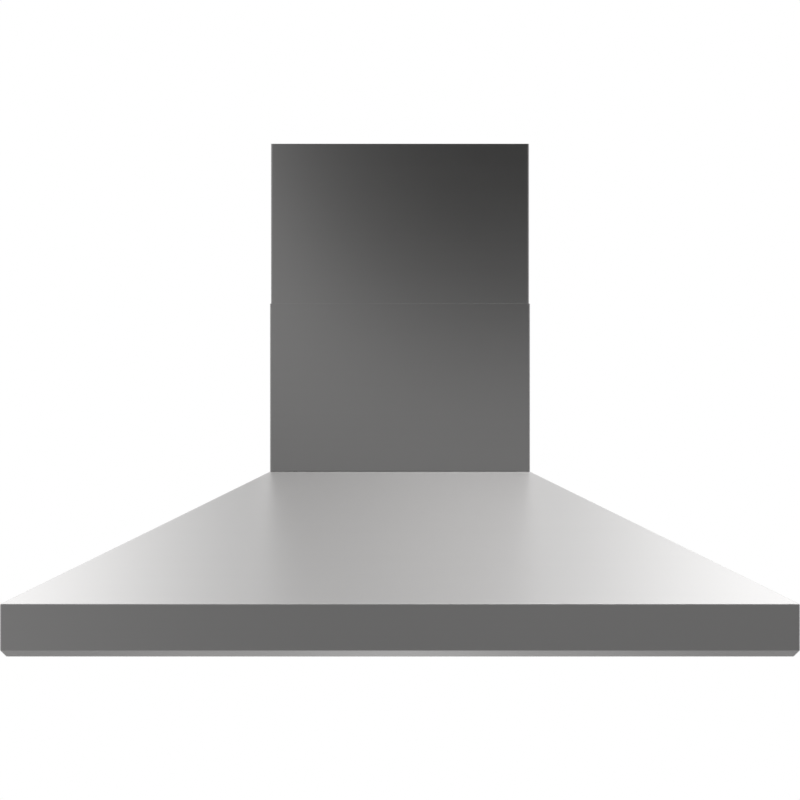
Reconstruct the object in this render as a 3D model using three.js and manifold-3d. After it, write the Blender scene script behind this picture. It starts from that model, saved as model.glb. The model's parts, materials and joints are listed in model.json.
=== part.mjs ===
// Wall-mounted range hood: a pyramid canopy with a folded apron, and a chimney of two covers
// that telescope. Millimetres, +Z up, the front faces -Y and the wall is the plane y = 0.
// Everything is drawn with z = 0 at the canopy's lower edge. The exported group then moves down
// so that its origin is the centre of the canopy's back panel.
import * as THREE from "three";
import { mergeVertices } from "three/addons/utils/BufferGeometryUtils.js";
import Module from "manifold-3d";

const wasm = await Module();
wasm.setup();

// ---- Driving sizes ----

// Canopy
const CANOPY_WIDTH = 914;
const CANOPY_DEPTH = 500;
const LIP_HEIGHT = 7;
const APRON_HEIGHT = 53;
const PYRAMID_HEIGHT = 151;
const CANOPY_SHEET = 1.2;
const CORNER_RADIUS = 3;
const LIP_RETURN = 13;
const REAR_FLANGE = 16;
const BACK_SHEET = 1.2;
const KEYHOLE_SPACING = 380;
const KEYHOLE_HEIGHT = 150;
const KEYHOLE_HEAD_RADIUS = 6.5;
const KEYHOLE_SLOT_RADIUS = 3.2;
const KEYHOLE_SLOT_RISE = 14;

// Chimney covers
const UPPER_COVER_WIDTH = 297;
const UPPER_COVER_DEPTH = 268.9;
const UPPER_COVER_LENGTH = 360;
const UPPER_COVER_SHOWING = 184;
const LOWER_COVER_HEIGHT = 193;
const COVER_SHEET = 0.8;
const COVER_BEND_RADIUS = 2;
const COVER_RETURN = 14;
const BRACKET_HEIGHT = 25;
const BRACKET_TOP_DROP = 6;
const BRACKET_SHEET = 1.2;
const BRACKET_EAR = 24;

// Underside panel and its filter opening
const PANEL_RECESS = 20;
const PANEL_SHEET = 1;
const PANEL_RIM = 12;
const OPENING_WIDTH = 870;
const FILTER_LEDGE = 8;
const FILTER_REAR = 30;
const RAIL_HEIGHT = 18;
const RAIL_FOOT = 12;
const RAIL_SHEET = 1;
const CLIP_WIDTH = 24;
const CLIP_SHEET = 0.5;

// Baffle filters
const FILTER_COUNT = 3;
const FILTER_LENGTH = 330;
const FILTER_THICKNESS = 22;
const FILTER_SIDE_GAP = 1.5;
const FILTER_FRONT_GAP = 2;
const FILTER_SHEET = 1;
const FILTER_FLANGE = 14;
const BAFFLE_SHEET = 0.8;
const BAFFLE_WIDTH = 27;
const BAFFLE_LEG = 11;
const BAFFLE_FOLD = 2.5;
const BAFFLES_LOWER = 7;
const BAFFLE_TIE = 9;
const HANDLE_WIRE = 4;
const HANDLE_WIDTH = 44;
const HANDLE_REACH = 24;
const HANDLE_DROP = 3.8;
const LUG_THICKNESS = 2;

// Controls
const BUTTON_COUNT = 5;
const BUTTON_PITCH = 28;
const BUTTON_RADIUS = 9;
const BUTTON_RIM = 1.4;
const BUTTON_STEM_RADIUS = 3;
const BUTTON_PROUD = 2;
const BUTTON_TRAVEL = 2;
const STRIP_CENTRE = 430;
const PLATE_LENGTH = 176;
const PLATE_WIDTH = 34;
const PLATE_SHEET = 1.5;
const SWITCH_HOUSING_HEIGHT = 24;
const SWITCH_HOUSING_WALL = 1.5;

// Lamps
const LAMP_SPACING = 560;
const LAMP_RADIUS = 28;
const LAMP_HEIGHT = 30;
const LAMP_WALL = 1.5;
const LAMP_FINS = 3;
const BEZEL_RADIUS = 35;
const LENS_THICKNESS = 1.8;
const LENS_GAP = 0.5;

// Blower
const BOX_WIDTH = 272;
const BOX_DEPTH = 240;
const BOX_HEIGHT = 228;
const BOX_SHEET = 1;
const BOX_FLANGE = 8;
const BOX_WALL_DISTANCE = 15;
const SCROLL_WIDTH = 132;
const SCROLL_WALL = 2;
const SCROLL_LEAST_RADIUS = 76;
const SCROLL_GREATEST_RADIUS = 104;
const SCROLL_SWEEP = 290;
const SCROLL_FORWARD = 160;
const SCROLL_RISE = 106;
const INLET_RADIUS = 58;
const WHEEL_RADIUS = 70;
const WHEEL_WIDTH = 116;
const BLADE_DEPTH = 13;
const BLADE_COUNT = 24;
const BLADE_SHEET = 1.2;
const HUB_RADIUS = 12;
const SHAFT_RADIUS = 4;
const MOTOR_RADIUS = 41;
const MOTOR_LENGTH = 84;
const SPIDER_SHEET = 2;
const BUSH_RADIUS = 6;
const BUSH_HEIGHT = 5;

// Outlet
const DUCT_RADIUS = 75;
const DUCT_CENTRE = 120;
const COLLAR_HEIGHT = 48;
const TRANSITION_HEIGHT = 30;
const COLLAR_WALL = 2;
const OUTLET_FLANGE = 14;
const GASKET_THICKNESS = 3;
const FLAP_SHEET = 1.2;
const FLAP_PIN_RADIUS = 1.5;
const FLAP_KNUCKLE_WALL = 1.2;
const FLAP_HEIGHT = 14;

// Electrical pieces
const JUNCTION_SIZE = [44, 110, 38];
const JUNCTION_WALL = 2;
const CAPACITOR_RADIUS = 16;
const CAPACITOR_HEIGHT = 62;
const DRIVER_SIZE = [96, 36, 24];
const GLAND_RADIUS = 9;
const LEAD_RADIUS = 2.5;

// Clearances
const GAP = 0.3;
const PART_GAP = 1;

// ---- Sizes worked out from the driving ones ----

const CANOPY_HEIGHT = LIP_HEIGHT + APRON_HEIGHT + PYRAMID_HEIGHT;
const APRON_TOP = LIP_HEIGHT + APRON_HEIGHT;
const HALF_WIDTH = CANOPY_WIDTH / 2;
const LOWER_COVER_HALF = UPPER_COVER_WIDTH / 2 + GAP + COVER_SHEET;
const LOWER_COVER_DEPTH = UPPER_COVER_DEPTH + GAP + COVER_SHEET;
const CANOPY_BACK = -(BACK_SHEET + GAP);
const LOWER_COVER_TOP = CANOPY_HEIGHT + GAP + LOWER_COVER_HEIGHT;
const UPPER_COVER_TOP = LOWER_COVER_TOP + UPPER_COVER_SHOWING;
const PANEL_TOP = PANEL_RECESS + PANEL_SHEET;
const PANEL_BACK = CANOPY_BACK - CANOPY_SHEET - GAP;
const FILTER_BOTTOM = PANEL_TOP + GAP;
const FILTER_TOP = FILTER_BOTTOM + FILTER_THICKNESS;
const FILTER_FRONT = -(FILTER_REAR + FILTER_LENGTH);
const FILTER_WIDTH = OPENING_WIDTH / FILTER_COUNT - FILTER_SIDE_GAP;
const BOX_BOTTOM = CANOPY_HEIGHT + GAP;
const BOX_TOP = BOX_BOTTOM + BOX_HEIGHT;
const BOX_BACK = -BOX_WALL_DISTANCE;
const BOX_FRONT = BOX_BACK - BOX_DEPTH;
const SCROLL_CENTRE = new THREE.Vector3(0, -SCROLL_FORWARD, BOX_BOTTOM + SCROLL_RISE);
const SCROLL_TOP = BOX_TOP - BOX_SHEET - GASKET_THICKNESS - 2 * GAP;
const ADAPTER_BOTTOM = BOX_TOP + GAP;
const COLLAR_BOTTOM = ADAPTER_BOTTOM + TRANSITION_HEIGHT;
const COLLAR_TOP = COLLAR_BOTTOM + COLLAR_HEIGHT;
const PIN_HEIGHT = COLLAR_BOTTOM + FLAP_HEIGHT;
const PLATE_TOP = PANEL_RECESS - GAP;
const PLATE_BOTTOM = PLATE_TOP - PLATE_SHEET;

// ---- Finishes ----

function finish(color, roughness, metalness, extra = {}) {
  return () => new THREE.MeshStandardMaterial({ color, roughness, metalness, flatShading: true, ...extra });
}
const brushedSteel = finish(0xb4b6b8, 0.32, 1);
const galvanised = finish(0xa7acb0, 0.45, 0.9);
const brightSteel = finish(0xd0d2d4, 0.2, 1);
const castAluminium = finish(0xb9bcbe, 0.5, 0.8);
const blackPlastic = finish(0x1d1e20, 0.55, 0);
const greyPlastic = finish(0x6e7275, 0.6, 0);
const blackRubber = finish(0x18181a, 0.85, 0);
const frostedGlass = finish(0xf0f2ef, 0.25, 0, { transparent: true, opacity: 0.6 });
const greenBoard = finish(0x2f5d3a, 0.6, 0.1);

// ---- Solids ----

const MERGE_DISTANCE = 1e-4;

function solid(geometry) {
  const bare = geometry.clone();
  bare.deleteAttribute("normal");
  bare.deleteAttribute("uv");
  const merged = mergeVertices(bare, MERGE_DISTANCE);
  const vertProperties = merged.attributes.position.array;
  const triVerts = new Uint32Array(merged.index.array);
  return new wasm.Manifold(new wasm.Mesh({ numProp: 3, vertProperties, triVerts }));
}

function cut(body, ...tools) {
  return tools.reduce((left, tool) => left.subtract(tool), body);
}

function join(...bodies) {
  return bodies.reduce((sum, body) => sum.add(body));
}

function facets(body) {
  const { vertProperties, triVerts } = body.getMesh();
  const geometry = new THREE.BufferGeometry();
  geometry.setAttribute("position", new THREE.BufferAttribute(vertProperties, 3));
  geometry.setIndex(new THREE.BufferAttribute(triVerts, 1));
  const flat = geometry.toNonIndexed();
  flat.computeVertexNormals();
  return flat;
}

const hood = new THREE.Group();
hood.position.z = -CANOPY_HEIGHT / 2;

function place(name, body, makeMaterial, parent = hood) {
  const mesh = new THREE.Mesh(facets(body), makeMaterial());
  mesh.name = name;
  parent.add(mesh);
}

// ---- Outlines and the solids that follow them ----

function toShape(outline, holes) {
  const toVectors = (points) => points.map(([a, b]) => new THREE.Vector2(a, b));
  const shape = new THREE.Shape(toVectors(outline));
  shape.holes = holes.map((hole) => new THREE.Path(toVectors(hole)));
  return shape;
}

function extruded(outline, depth, holes) {
  return new THREE.ExtrudeGeometry(toShape(outline, holes), { depth, bevelEnabled: false });
}

// An outline of (x, y) points, raised from one height to another.
function alongZ(outline, low, high, holes = []) {
  return solid(extruded(outline, high - low, holes).translate(0, 0, low));
}

// An outline of (x, z) points, run from one y to another.
function alongY(outline, low, high, holes = []) {
  return solid(extruded(outline, high - low, holes).rotateX(Math.PI / 2).translate(0, high, 0));
}

// An outline of (y, z) points, run from one x to another.
const YZ_TO_XYZ = new THREE.Matrix4().makeBasis(
  new THREE.Vector3(0, 1, 0),
  new THREE.Vector3(0, 0, 1),
  new THREE.Vector3(1, 0, 0),
);
function alongX(outline, low, high, holes = []) {
  return solid(extruded(outline, high - low, holes).applyMatrix4(YZ_TO_XYZ).translate(low, 0, 0));
}

// A profile of (radius, distance) points turned about the Y axis.
function turned(profile, segments) {
  const points = profile.map(([radius, distance]) => new THREE.Vector2(radius, distance));
  return new THREE.LatheGeometry(points, segments);
}

// The same, turned about an upright line through (x, y).
function turnedUpright(profile, x, y, segments = 24) {
  return solid(turned(profile, segments).rotateX(Math.PI / 2).translate(x, y, 0));
}

// The same, turned about a line along X through (y, z).
function turnedAlongX(profile, y, z, segments = 24) {
  return solid(turned(profile, segments).rotateZ(-Math.PI / 2).translate(0, y, z));
}

function arc(centreA, centreB, radius, from, to, steps) {
  return Array.from({ length: steps + 1 }, (_, i) => {
    const angle = THREE.MathUtils.degToRad(from + ((to - from) * i) / steps);
    return [centreA + radius * Math.cos(angle), centreB + radius * Math.sin(angle)];
  });
}

function circle(centreA, centreB, radius, steps = 24) {
  return arc(centreA, centreB, radius, 0, 360, steps).slice(0, -1);
}

function rectangle(lowA, lowB, highA, highB) {
  return [[lowA, lowB], [highA, lowB], [highA, highB], [lowA, highB]];
}

function roundedRectangle(lowA, lowB, highA, highB, radius, steps = 3) {
  return [
    ...arc(highA - radius, highB - radius, radius, 0, 90, steps),
    ...arc(lowA + radius, highB - radius, radius, 90, 180, steps),
    ...arc(lowA + radius, lowB + radius, radius, 180, 270, steps),
    ...arc(highA - radius, lowB + radius, radius, 270, 360, steps),
  ];
}

// Moves each corner of a line of points to the left of its run by one distance.
function offset(points, distance, closed = false) {
  const vectors = points.map(([a, b]) => new THREE.Vector2(a, b));
  const last = vectors.length - 1;
  return vectors.map((here, i) => {
    const previous = closed ? vectors[(i + last) % (last + 1)] : vectors[Math.max(i - 1, 0)];
    const next = closed ? vectors[(i + 1) % (last + 1)] : vectors[Math.min(i + 1, last)];
    const into = (i === 0 && !closed ? next.clone().sub(here) : here.clone().sub(previous)).normalize();
    const out = (i === last && !closed ? into : next.clone().sub(here)).clone().normalize();
    const mitre = new THREE.Vector2(-into.y - out.y, into.x + out.x).normalize();
    const reach = distance / (-mitre.x * into.y + mitre.y * into.x);
    return [here.x + mitre.x * reach, here.y + mitre.y * reach];
  });
}

// The outline of a folded sheet whose one face follows the points, with its thickness to their left.
function foldedSheet(face, thickness) {
  return [...face, ...offset(face, thickness).reverse()];
}

// A closed body through level rings that all have the same number of points, from low to high.
function lofted(rings) {
  const count = rings[0].length;
  const positions = rings.flat(2);
  const index = [];
  for (let level = 0; level + 1 < rings.length; level += 1) {
    for (let i = 0; i < count; i += 1) {
      const a = level * count + i;
      const b = level * count + ((i + 1) % count);
      index.push(a, b, b + count, a, b + count, a + count);
    }
  }
  const top = (rings.length - 1) * count;
  for (let i = 1; i + 1 < count; i += 1) {
    index.push(0, i + 1, i);
    index.push(top, top + i, top + i + 1);
  }
  const geometry = new THREE.BufferGeometry();
  geometry.setAttribute("position", new THREE.Float32BufferAttribute(positions, 3));
  geometry.setIndex(index);
  return solid(geometry);
}

// ---- Canopy ----

// A level ring round the canopy: square at the wall, rounded at its two front corners.
function canopyRing(halfWidth, front, back, radius, height) {
  const outline = [
    [halfWidth, back],
    [-halfWidth, back],
    ...arc(-halfWidth + radius, front + radius, radius, 180, 270, 3),
    ...arc(halfWidth - radius, front + radius, radius, 270, 360, 3),
  ];
  return outline.map(([x, y]) => [x, y, height]);
}

const SIDE_RUN = HALF_WIDTH - LOWER_COVER_HALF;
const FRONT_RUN = CANOPY_DEPTH - LOWER_COVER_DEPTH;
const SIDE_INSET = CANOPY_SHEET * Math.hypot(1, SIDE_RUN / PYRAMID_HEIGHT);
const FRONT_INSET = CANOPY_SHEET * Math.hypot(1, FRONT_RUN / PYRAMID_HEIGHT);

// The canopy's own faces, and the same faces one sheet further in.
function canopyBlock(sheet) {
  const back = CANOPY_BACK - sheet;
  const radius = CORNER_RADIUS - sheet;
  const lipInset = LIP_HEIGHT + sheet * (Math.SQRT2 - 1);
  const eaves = APRON_TOP - (sheet * PYRAMID_HEIGHT) / (PYRAMID_HEIGHT + SIDE_RUN);
  const top = CANOPY_HEIGHT - sheet;
  const sideIn = sheet > 0 ? SIDE_INSET - (sheet * SIDE_RUN) / PYRAMID_HEIGHT : 0;
  const frontIn = sheet > 0 ? FRONT_INSET - (sheet * FRONT_RUN) / PYRAMID_HEIGHT : 0;
  const front = -CANOPY_DEPTH + sheet;
  return lofted([
    canopyRing(HALF_WIDTH - lipInset, -CANOPY_DEPTH + lipInset, back, radius, sheet),
    canopyRing(HALF_WIDTH - sheet, front, back, radius, LIP_HEIGHT + sheet * (Math.SQRT2 - 1)),
    canopyRing(HALF_WIDTH - sheet, front, back, radius, eaves),
    canopyRing(LOWER_COVER_HALF - sideIn, -LOWER_COVER_DEPTH + frontIn, back, COVER_BEND_RADIUS, top),
  ]);
}

const canopyRearOutline = [
  [-HALF_WIDTH + LIP_HEIGHT, 0],
  [HALF_WIDTH - LIP_HEIGHT, 0],
  [HALF_WIDTH, LIP_HEIGHT],
  [HALF_WIDTH, APRON_TOP],
  [LOWER_COVER_HALF, CANOPY_HEIGHT],
  [-LOWER_COVER_HALF, CANOPY_HEIGHT],
  [-HALF_WIDTH, APRON_TOP],
  [-HALF_WIDTH, LIP_HEIGHT],
];

function canopyShell() {
  const squareOutline = [
    [-HALF_WIDTH, 0],
    [HALF_WIDTH, 0],
    ...canopyRearOutline.slice(3, 7),
  ];
  const rearWindow = offset(squareOutline, REAR_FLANGE, true);
  const lipInner = LIP_HEIGHT + LIP_RETURN;
  const mouth = canopyRing(HALF_WIDTH - lipInner, -CANOPY_DEPTH + lipInner, -REAR_FLANGE, CORNER_RADIUS, 0);
  const mouthOutline = mouth.map(([x, y]) => [x, y]);
  const blowerWindow = roundedRectangle(
    -BOX_WIDTH / 2 + BOX_SHEET,
    BOX_FRONT + BOX_SHEET,
    BOX_WIDTH / 2 - BOX_SHEET,
    BOX_BACK - BOX_SHEET,
    COVER_BEND_RADIUS,
  );
  const through = 2 * CANOPY_SHEET;
  return cut(
    canopyBlock(0),
    canopyBlock(CANOPY_SHEET),
    alongY(rearWindow, CANOPY_BACK - through, CANOPY_BACK + through),
    alongZ(mouthOutline, -through, through),
    alongZ(blowerWindow, CANOPY_HEIGHT - through, CANOPY_HEIGHT + through),
  );
}

// A round head below a narrower slot, as a wall screw needs it.
function keyhole(x, z) {
  const narrow = THREE.MathUtils.radToDeg(Math.asin(KEYHOLE_SLOT_RADIUS / KEYHOLE_HEAD_RADIUS));
  return [
    ...arc(x, z, KEYHOLE_HEAD_RADIUS, 90 + narrow, 450 - narrow, 16),
    ...arc(x, z + KEYHOLE_SLOT_RISE, KEYHOLE_SLOT_RADIUS, 0, 180, 6),
  ];
}

function canopyBackPanel() {
  const keyholes = [-1, 1].map((side) => keyhole((side * KEYHOLE_SPACING) / 2, KEYHOLE_HEIGHT));
  return alongY(canopyRearOutline, -BACK_SHEET, 0, keyholes);
}

place("canopy_shell", canopyShell(), brushedSteel);
place("canopy_back_panel", canopyBackPanel(), galvanised);

// ---- Chimney ----

// A cover's plan: a front, two sides and a narrow return along the wall on each side.
function coverOutline(halfWidth, front, back) {
  const bend = COVER_BEND_RADIUS;
  const face = [
    [halfWidth - COVER_RETURN, back],
    [halfWidth, back],
    ...arc(halfWidth - bend, front + bend, bend, 0, -90, 3),
    ...arc(-halfWidth + bend, front + bend, bend, -90, -180, 3),
    [-halfWidth, back],
    [-halfWidth + COVER_RETURN, back],
  ];
  return foldedSheet(face.reverse(), COVER_SHEET);
}

const upperCoverBack = -COVER_SHEET - GAP;
place(
  "lower_chimney_cover",
  alongZ(coverOutline(LOWER_COVER_HALF, -LOWER_COVER_DEPTH, 0), CANOPY_HEIGHT + GAP, LOWER_COVER_TOP),
  brushedSteel,
);
place(
  "upper_chimney_cover",
  alongZ(
    coverOutline(UPPER_COVER_WIDTH / 2, -UPPER_COVER_DEPTH, upperCoverBack),
    UPPER_COVER_TOP - UPPER_COVER_LENGTH,
    UPPER_COVER_TOP,
  ),
  brushedSteel,
);

// A strap on the wall that steps forward round the cover's returns and ends in two ears.
function chimneyWallBracket() {
  const earX = UPPER_COVER_WIDTH / 2 - COVER_SHEET - GAP;
  const stepX = UPPER_COVER_WIDTH / 2 - COVER_RETURN - PART_GAP;
  const stepY = upperCoverBack - COVER_SHEET - GAP;
  const right = [
    [stepX, 0],
    [stepX, stepY],
    [earX, stepY],
    [earX, stepY - BRACKET_EAR],
  ];
  const left = right.map(([x, y]) => [-x, y]).reverse();
  const top = UPPER_COVER_TOP - BRACKET_TOP_DROP;
  return alongZ(foldedSheet([...right.reverse(), ...left.reverse()], BRACKET_SHEET), top - BRACKET_HEIGHT, top);
}

place("chimney_wall_bracket", chimneyWallBracket(), galvanised);

// ---- Underside panel and filter rails ----

const openingHalf = OPENING_WIDTH / 2;
const openingBack = -FILTER_REAR - FILTER_LEDGE;
const openingFront = FILTER_FRONT - FILTER_FRONT_GAP;
const lampPlaces = [-LAMP_SPACING / 2, LAMP_SPACING / 2];
const buttonPlaces = Array.from(
  { length: BUTTON_COUNT },
  (_, i) => (i - (BUTTON_COUNT - 1) / 2) * BUTTON_PITCH,
);
const switchHousingHalf = (BUTTON_COUNT * BUTTON_PITCH) / 2 + SWITCH_HOUSING_WALL;
const controlCutHalf = switchHousingHalf - 2 * SWITCH_HOUSING_WALL;
const controlCutDepth = BUTTON_RADIUS + BUTTON_RIM + PART_GAP;

function undersidePanel() {
  const side = HALF_WIDTH - CANOPY_SHEET - GAP;
  const front = -CANOPY_DEPTH + CANOPY_SHEET + GAP;
  const ring = (inset, height) =>
    canopyRing(side - inset, front + inset, PANEL_BACK - inset, CORNER_RADIUS - inset, height);
  const rimTop = PANEL_TOP + PANEL_RIM;
  const controlCut = rectangle(
    -controlCutHalf,
    -STRIP_CENTRE - controlCutDepth,
    controlCutHalf,
    -STRIP_CENTRE + controlCutDepth,
  );
  const opening = rectangle(-openingHalf, openingFront, openingHalf, openingBack);
  const lampHoles = lampPlaces.map((x) => circle(x, -STRIP_CENTRE, LAMP_RADIUS + GAP, 32));
  const cutter = (outline) => alongZ(outline, PANEL_RECESS - PANEL_SHEET, PANEL_TOP + PANEL_SHEET);
  return cut(
    lofted([ring(0, PANEL_RECESS), ring(0, rimTop)]),
    lofted([ring(PANEL_SHEET, PANEL_TOP), ring(PANEL_SHEET, rimTop + PANEL_SHEET)]),
    ...[opening, controlCut, ...lampHoles].map(cutter),
  );
}

// An angle whose upright stands beside the filters and whose foot lies on the panel, away from them.
function filterRail(upright, direction) {
  const foot = FILTER_BOTTOM;
  const face = [
    [upright, foot + RAIL_HEIGHT],
    [upright, foot],
    [upright + direction * RAIL_FOOT, foot],
  ];
  return alongX(foldedSheet(face, direction * RAIL_SHEET), -openingHalf, openingHalf);
}

const frontRailFace = openingFront - GAP;

// A leaf spring: its ends lie along the front rail and its middle bows towards the filter.
function filterClip(x) {
  const foot = frontRailFace + GAP;
  const bow = FILTER_FRONT - GAP - CLIP_SHEET;
  const low = FILTER_BOTTOM + GAP;
  const step = RAIL_HEIGHT / 6;
  const face = [
    [foot, low],
    [foot, low + step],
    [bow, low + 2.5 * step],
    [bow, low + 3.5 * step],
    [foot, low + 5 * step],
    [foot, low + 5.8 * step],
  ];
  return alongX(foldedSheet(face, -CLIP_SHEET), x - CLIP_WIDTH / 2, x + CLIP_WIDTH / 2);
}

place("underside_panel", undersidePanel(), brushedSteel);
place("filter_rail_rear", filterRail(-FILTER_REAR + PART_GAP, 1), galvanised);
place("filter_rail_front", filterRail(frontRailFace, -1), galvanised);

// ---- Baffle filters ----

const handlePivot = new THREE.Vector2(FILTER_FRONT + FILTER_FLANGE / 2, FILTER_BOTTOM - HANDLE_DROP);
const lugInner = HANDLE_WIDTH / 2 + HANDLE_WIRE / 2 + PART_GAP;

// A trough seen from its end, with its floor at one height and its legs up (1) or down (-1).
function troughOutline(x, floor, direction) {
  const half = BAFFLE_WIDTH / 2;
  const fold = BAFFLE_FOLD;
  const tip = floor + direction * BAFFLE_LEG;
  const face = [
    [x - half, tip],
    [x - half, floor + direction * fold],
    [x - half + fold, floor],
    [x + half - fold, floor],
    [x + half, floor + direction * fold],
    [x + half, tip],
  ];
  return foldedSheet(face, direction * BAFFLE_SHEET);
}

const bafflePitch = (FILTER_WIDTH - 2 * FILTER_FLANGE) / BAFFLES_LOWER;
const baffleFront = FILTER_FRONT + FILTER_SHEET;
const baffleBack = -FILTER_REAR - FILTER_SHEET;

// A lug below the filter's front flange, with the hole that holds one end of the handle.
function handleLug(x) {
  const { x: pivotY, y: pivotZ } = handlePivot;
  const eye = HANDLE_WIRE;
  const outline = [
    [pivotY - eye, FILTER_BOTTOM + FILTER_SHEET / 2],
    ...arc(pivotY, pivotZ, eye, 180, 360, 8),
    [pivotY + eye, FILTER_BOTTOM + FILTER_SHEET / 2],
  ];
  const hole = circle(pivotY, pivotZ, HANDLE_WIRE / 2 + GAP, 12);
  return alongX(outline, x, x + LUG_THICKNESS, [hole]);
}

// The folded frame with its lower row of troughs, which are welded into it, and the handle's lugs.
function filterFrame(x) {
  const half = FILTER_WIDTH / 2;
  const block = (inset, bottom, top) =>
    alongZ(
      roundedRectangle(
        x - half + inset,
        FILTER_FRONT + inset,
        x + half - inset,
        -FILTER_REAR - inset,
        CORNER_RADIUS,
        2,
      ),
      bottom,
      top,
    );
  const channel = cut(
    block(0, FILTER_BOTTOM, FILTER_TOP),
    block(FILTER_SHEET, FILTER_BOTTOM + FILTER_SHEET, FILTER_TOP - FILTER_SHEET),
    block(FILTER_FLANGE, FILTER_BOTTOM - FILTER_SHEET, FILTER_TOP + FILTER_SHEET),
  );
  const floor = FILTER_BOTTOM + FILTER_SHEET / 2;
  const troughs = Array.from({ length: BAFFLES_LOWER }, (_, i) => {
    const troughX = x + (i - (BAFFLES_LOWER - 1) / 2) * bafflePitch;
    return alongY(troughOutline(troughX, floor, 1), baffleFront - FILTER_SHEET / 2, baffleBack + FILTER_SHEET / 2);
  });
  const lugs = [handleLug(x - lugInner - LUG_THICKNESS), handleLug(x + lugInner)];
  return join(channel, ...troughs, ...lugs);
}

// The upper row: troughs turned over the gaps of the lower row, tied by a strip at each end.
function filterBaffles(x) {
  const floor = FILTER_TOP - FILTER_SHEET - GAP;
  const front = baffleFront + GAP;
  const back = baffleBack - GAP;
  const troughs = Array.from({ length: BAFFLES_LOWER - 1 }, (_, i) => {
    const troughX = x + (i - (BAFFLES_LOWER - 2) / 2) * bafflePitch;
    return alongY(troughOutline(troughX, floor, -1), front, back);
  });
  const tieHalf = ((BAFFLES_LOWER - 2) * bafflePitch) / 2;
  const tieTop = floor - BAFFLE_SHEET / 2;
  const tie = (low) =>
    alongZ(rectangle(x - tieHalf, low, x + tieHalf, low + BAFFLE_TIE), tieTop - BAFFLE_SHEET, tieTop);
  return join(...troughs, tie(front + PART_GAP), tie(back - BAFFLE_TIE - PART_GAP));
}

// A wire bent into a handle, folded back under the filter, with its ends turned out into the lugs.
function filterHandle(x) {
  const { x: pivotY, y: z } = handlePivot;
  const half = HANDLE_WIDTH / 2;
  const end = lugInner + LUG_THICKNESS + PART_GAP;
  const bend = HANDLE_WIRE * 1.5;
  const far = pivotY + HANDLE_REACH;
  const corners = [
    [-end, pivotY],
    [-half, pivotY],
    [-half, far],
    [half, far],
    [half, pivotY],
    [end, pivotY],
  ].map(([cornerX, y]) => new THREE.Vector3(x + cornerX, y, z));
  const path = new THREE.CurvePath();
  let from = corners[0];
  corners.slice(1, -1).forEach((corner, i) => {
    const radius = i === 0 || i === 3 ? bend / 2 : bend;
    const before = corners[i].clone().sub(corner).setLength(radius).add(corner);
    const after = corners[i + 2].clone().sub(corner).setLength(radius).add(corner);
    path.add(new THREE.LineCurve3(from, before));
    path.add(new THREE.QuadraticBezierCurve3(before, corner, after));
    from = after;
  });
  path.add(new THREE.LineCurve3(from, corners[corners.length - 1]));
  const section = toShape(circle(0, 0, HANDLE_WIRE / 2, 6), []);
  const geometry = new THREE.ExtrudeGeometry(section, { steps: 24, extrudePath: path, bevelEnabled: false });
  return solid(geometry);
}

const filterNames = ["left", "centre", "right"];
filterNames.forEach((side, i) => {
  const x = ((i - (FILTER_COUNT - 1) / 2) * OPENING_WIDTH) / FILTER_COUNT;
  place(`filter_frame_${side}`, filterFrame(x), brushedSteel);
  place(`filter_baffles_${side}`, filterBaffles(x), brushedSteel);
  place(`filter_handle_${side}`, filterHandle(x), brightSteel);
  place(`filter_clip_${side}`, filterClip(x), brightSteel);
});

// ---- Controls, set in the strip behind the front lip ----

function buttonPlate() {
  const holes = buttonPlaces.map((x) => circle(x, -STRIP_CENTRE, BUTTON_RADIUS + GAP, 16));
  const outline = roundedRectangle(
    -PLATE_LENGTH / 2,
    -STRIP_CENTRE - PLATE_WIDTH / 2,
    PLATE_LENGTH / 2,
    -STRIP_CENTRE + PLATE_WIDTH / 2,
    CORNER_RADIUS,
  );
  return alongZ(outline, PLATE_BOTTOM, PLATE_TOP, holes);
}

const buttonRimBottom = PLATE_TOP + GAP;
const buttonRimTop = buttonRimBottom + BUTTON_RIM;
const boardBottom = PANEL_TOP + GAP + SWITCH_HOUSING_HEIGHT - SWITCH_HOUSING_WALL - 2 * PART_GAP;
const buttonStemTop = boardBottom - BUTTON_TRAVEL - PART_GAP;

function pushButton(x) {
  const face = PLATE_BOTTOM - BUTTON_PROUD;
  const edge = 0.8;
  const profile = [
    [0, face],
    [BUTTON_RADIUS - edge, face],
    [BUTTON_RADIUS, face + edge],
    [BUTTON_RADIUS, buttonRimBottom],
    [BUTTON_RADIUS + BUTTON_RIM, buttonRimBottom],
    [BUTTON_RADIUS + BUTTON_RIM, buttonRimTop],
    [BUTTON_STEM_RADIUS, buttonRimTop],
    [BUTTON_STEM_RADIUS, buttonStemTop],
    [0, buttonStemTop],
  ];
  return turnedUpright(profile, x, -STRIP_CENTRE, 16);
}

// An open-bottomed box over the strip's cut-out.
function switchHousing() {
  const bottom = PANEL_TOP + GAP;
  const top = bottom + SWITCH_HOUSING_HEIGHT;
  const depth = controlCutDepth + SWITCH_HOUSING_WALL;
  const block = (inset, low, high) =>
    alongZ(
      roundedRectangle(
        -switchHousingHalf - SWITCH_HOUSING_WALL + inset,
        -STRIP_CENTRE - depth + inset,
        switchHousingHalf + SWITCH_HOUSING_WALL - inset,
        -STRIP_CENTRE + depth - inset,
        CORNER_RADIUS - inset,
        2,
      ),
      low,
      high,
    );
  return cut(
    block(0, bottom, top),
    block(SWITCH_HOUSING_WALL, bottom - PART_GAP, top - SWITCH_HOUSING_WALL),
  );
}

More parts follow.
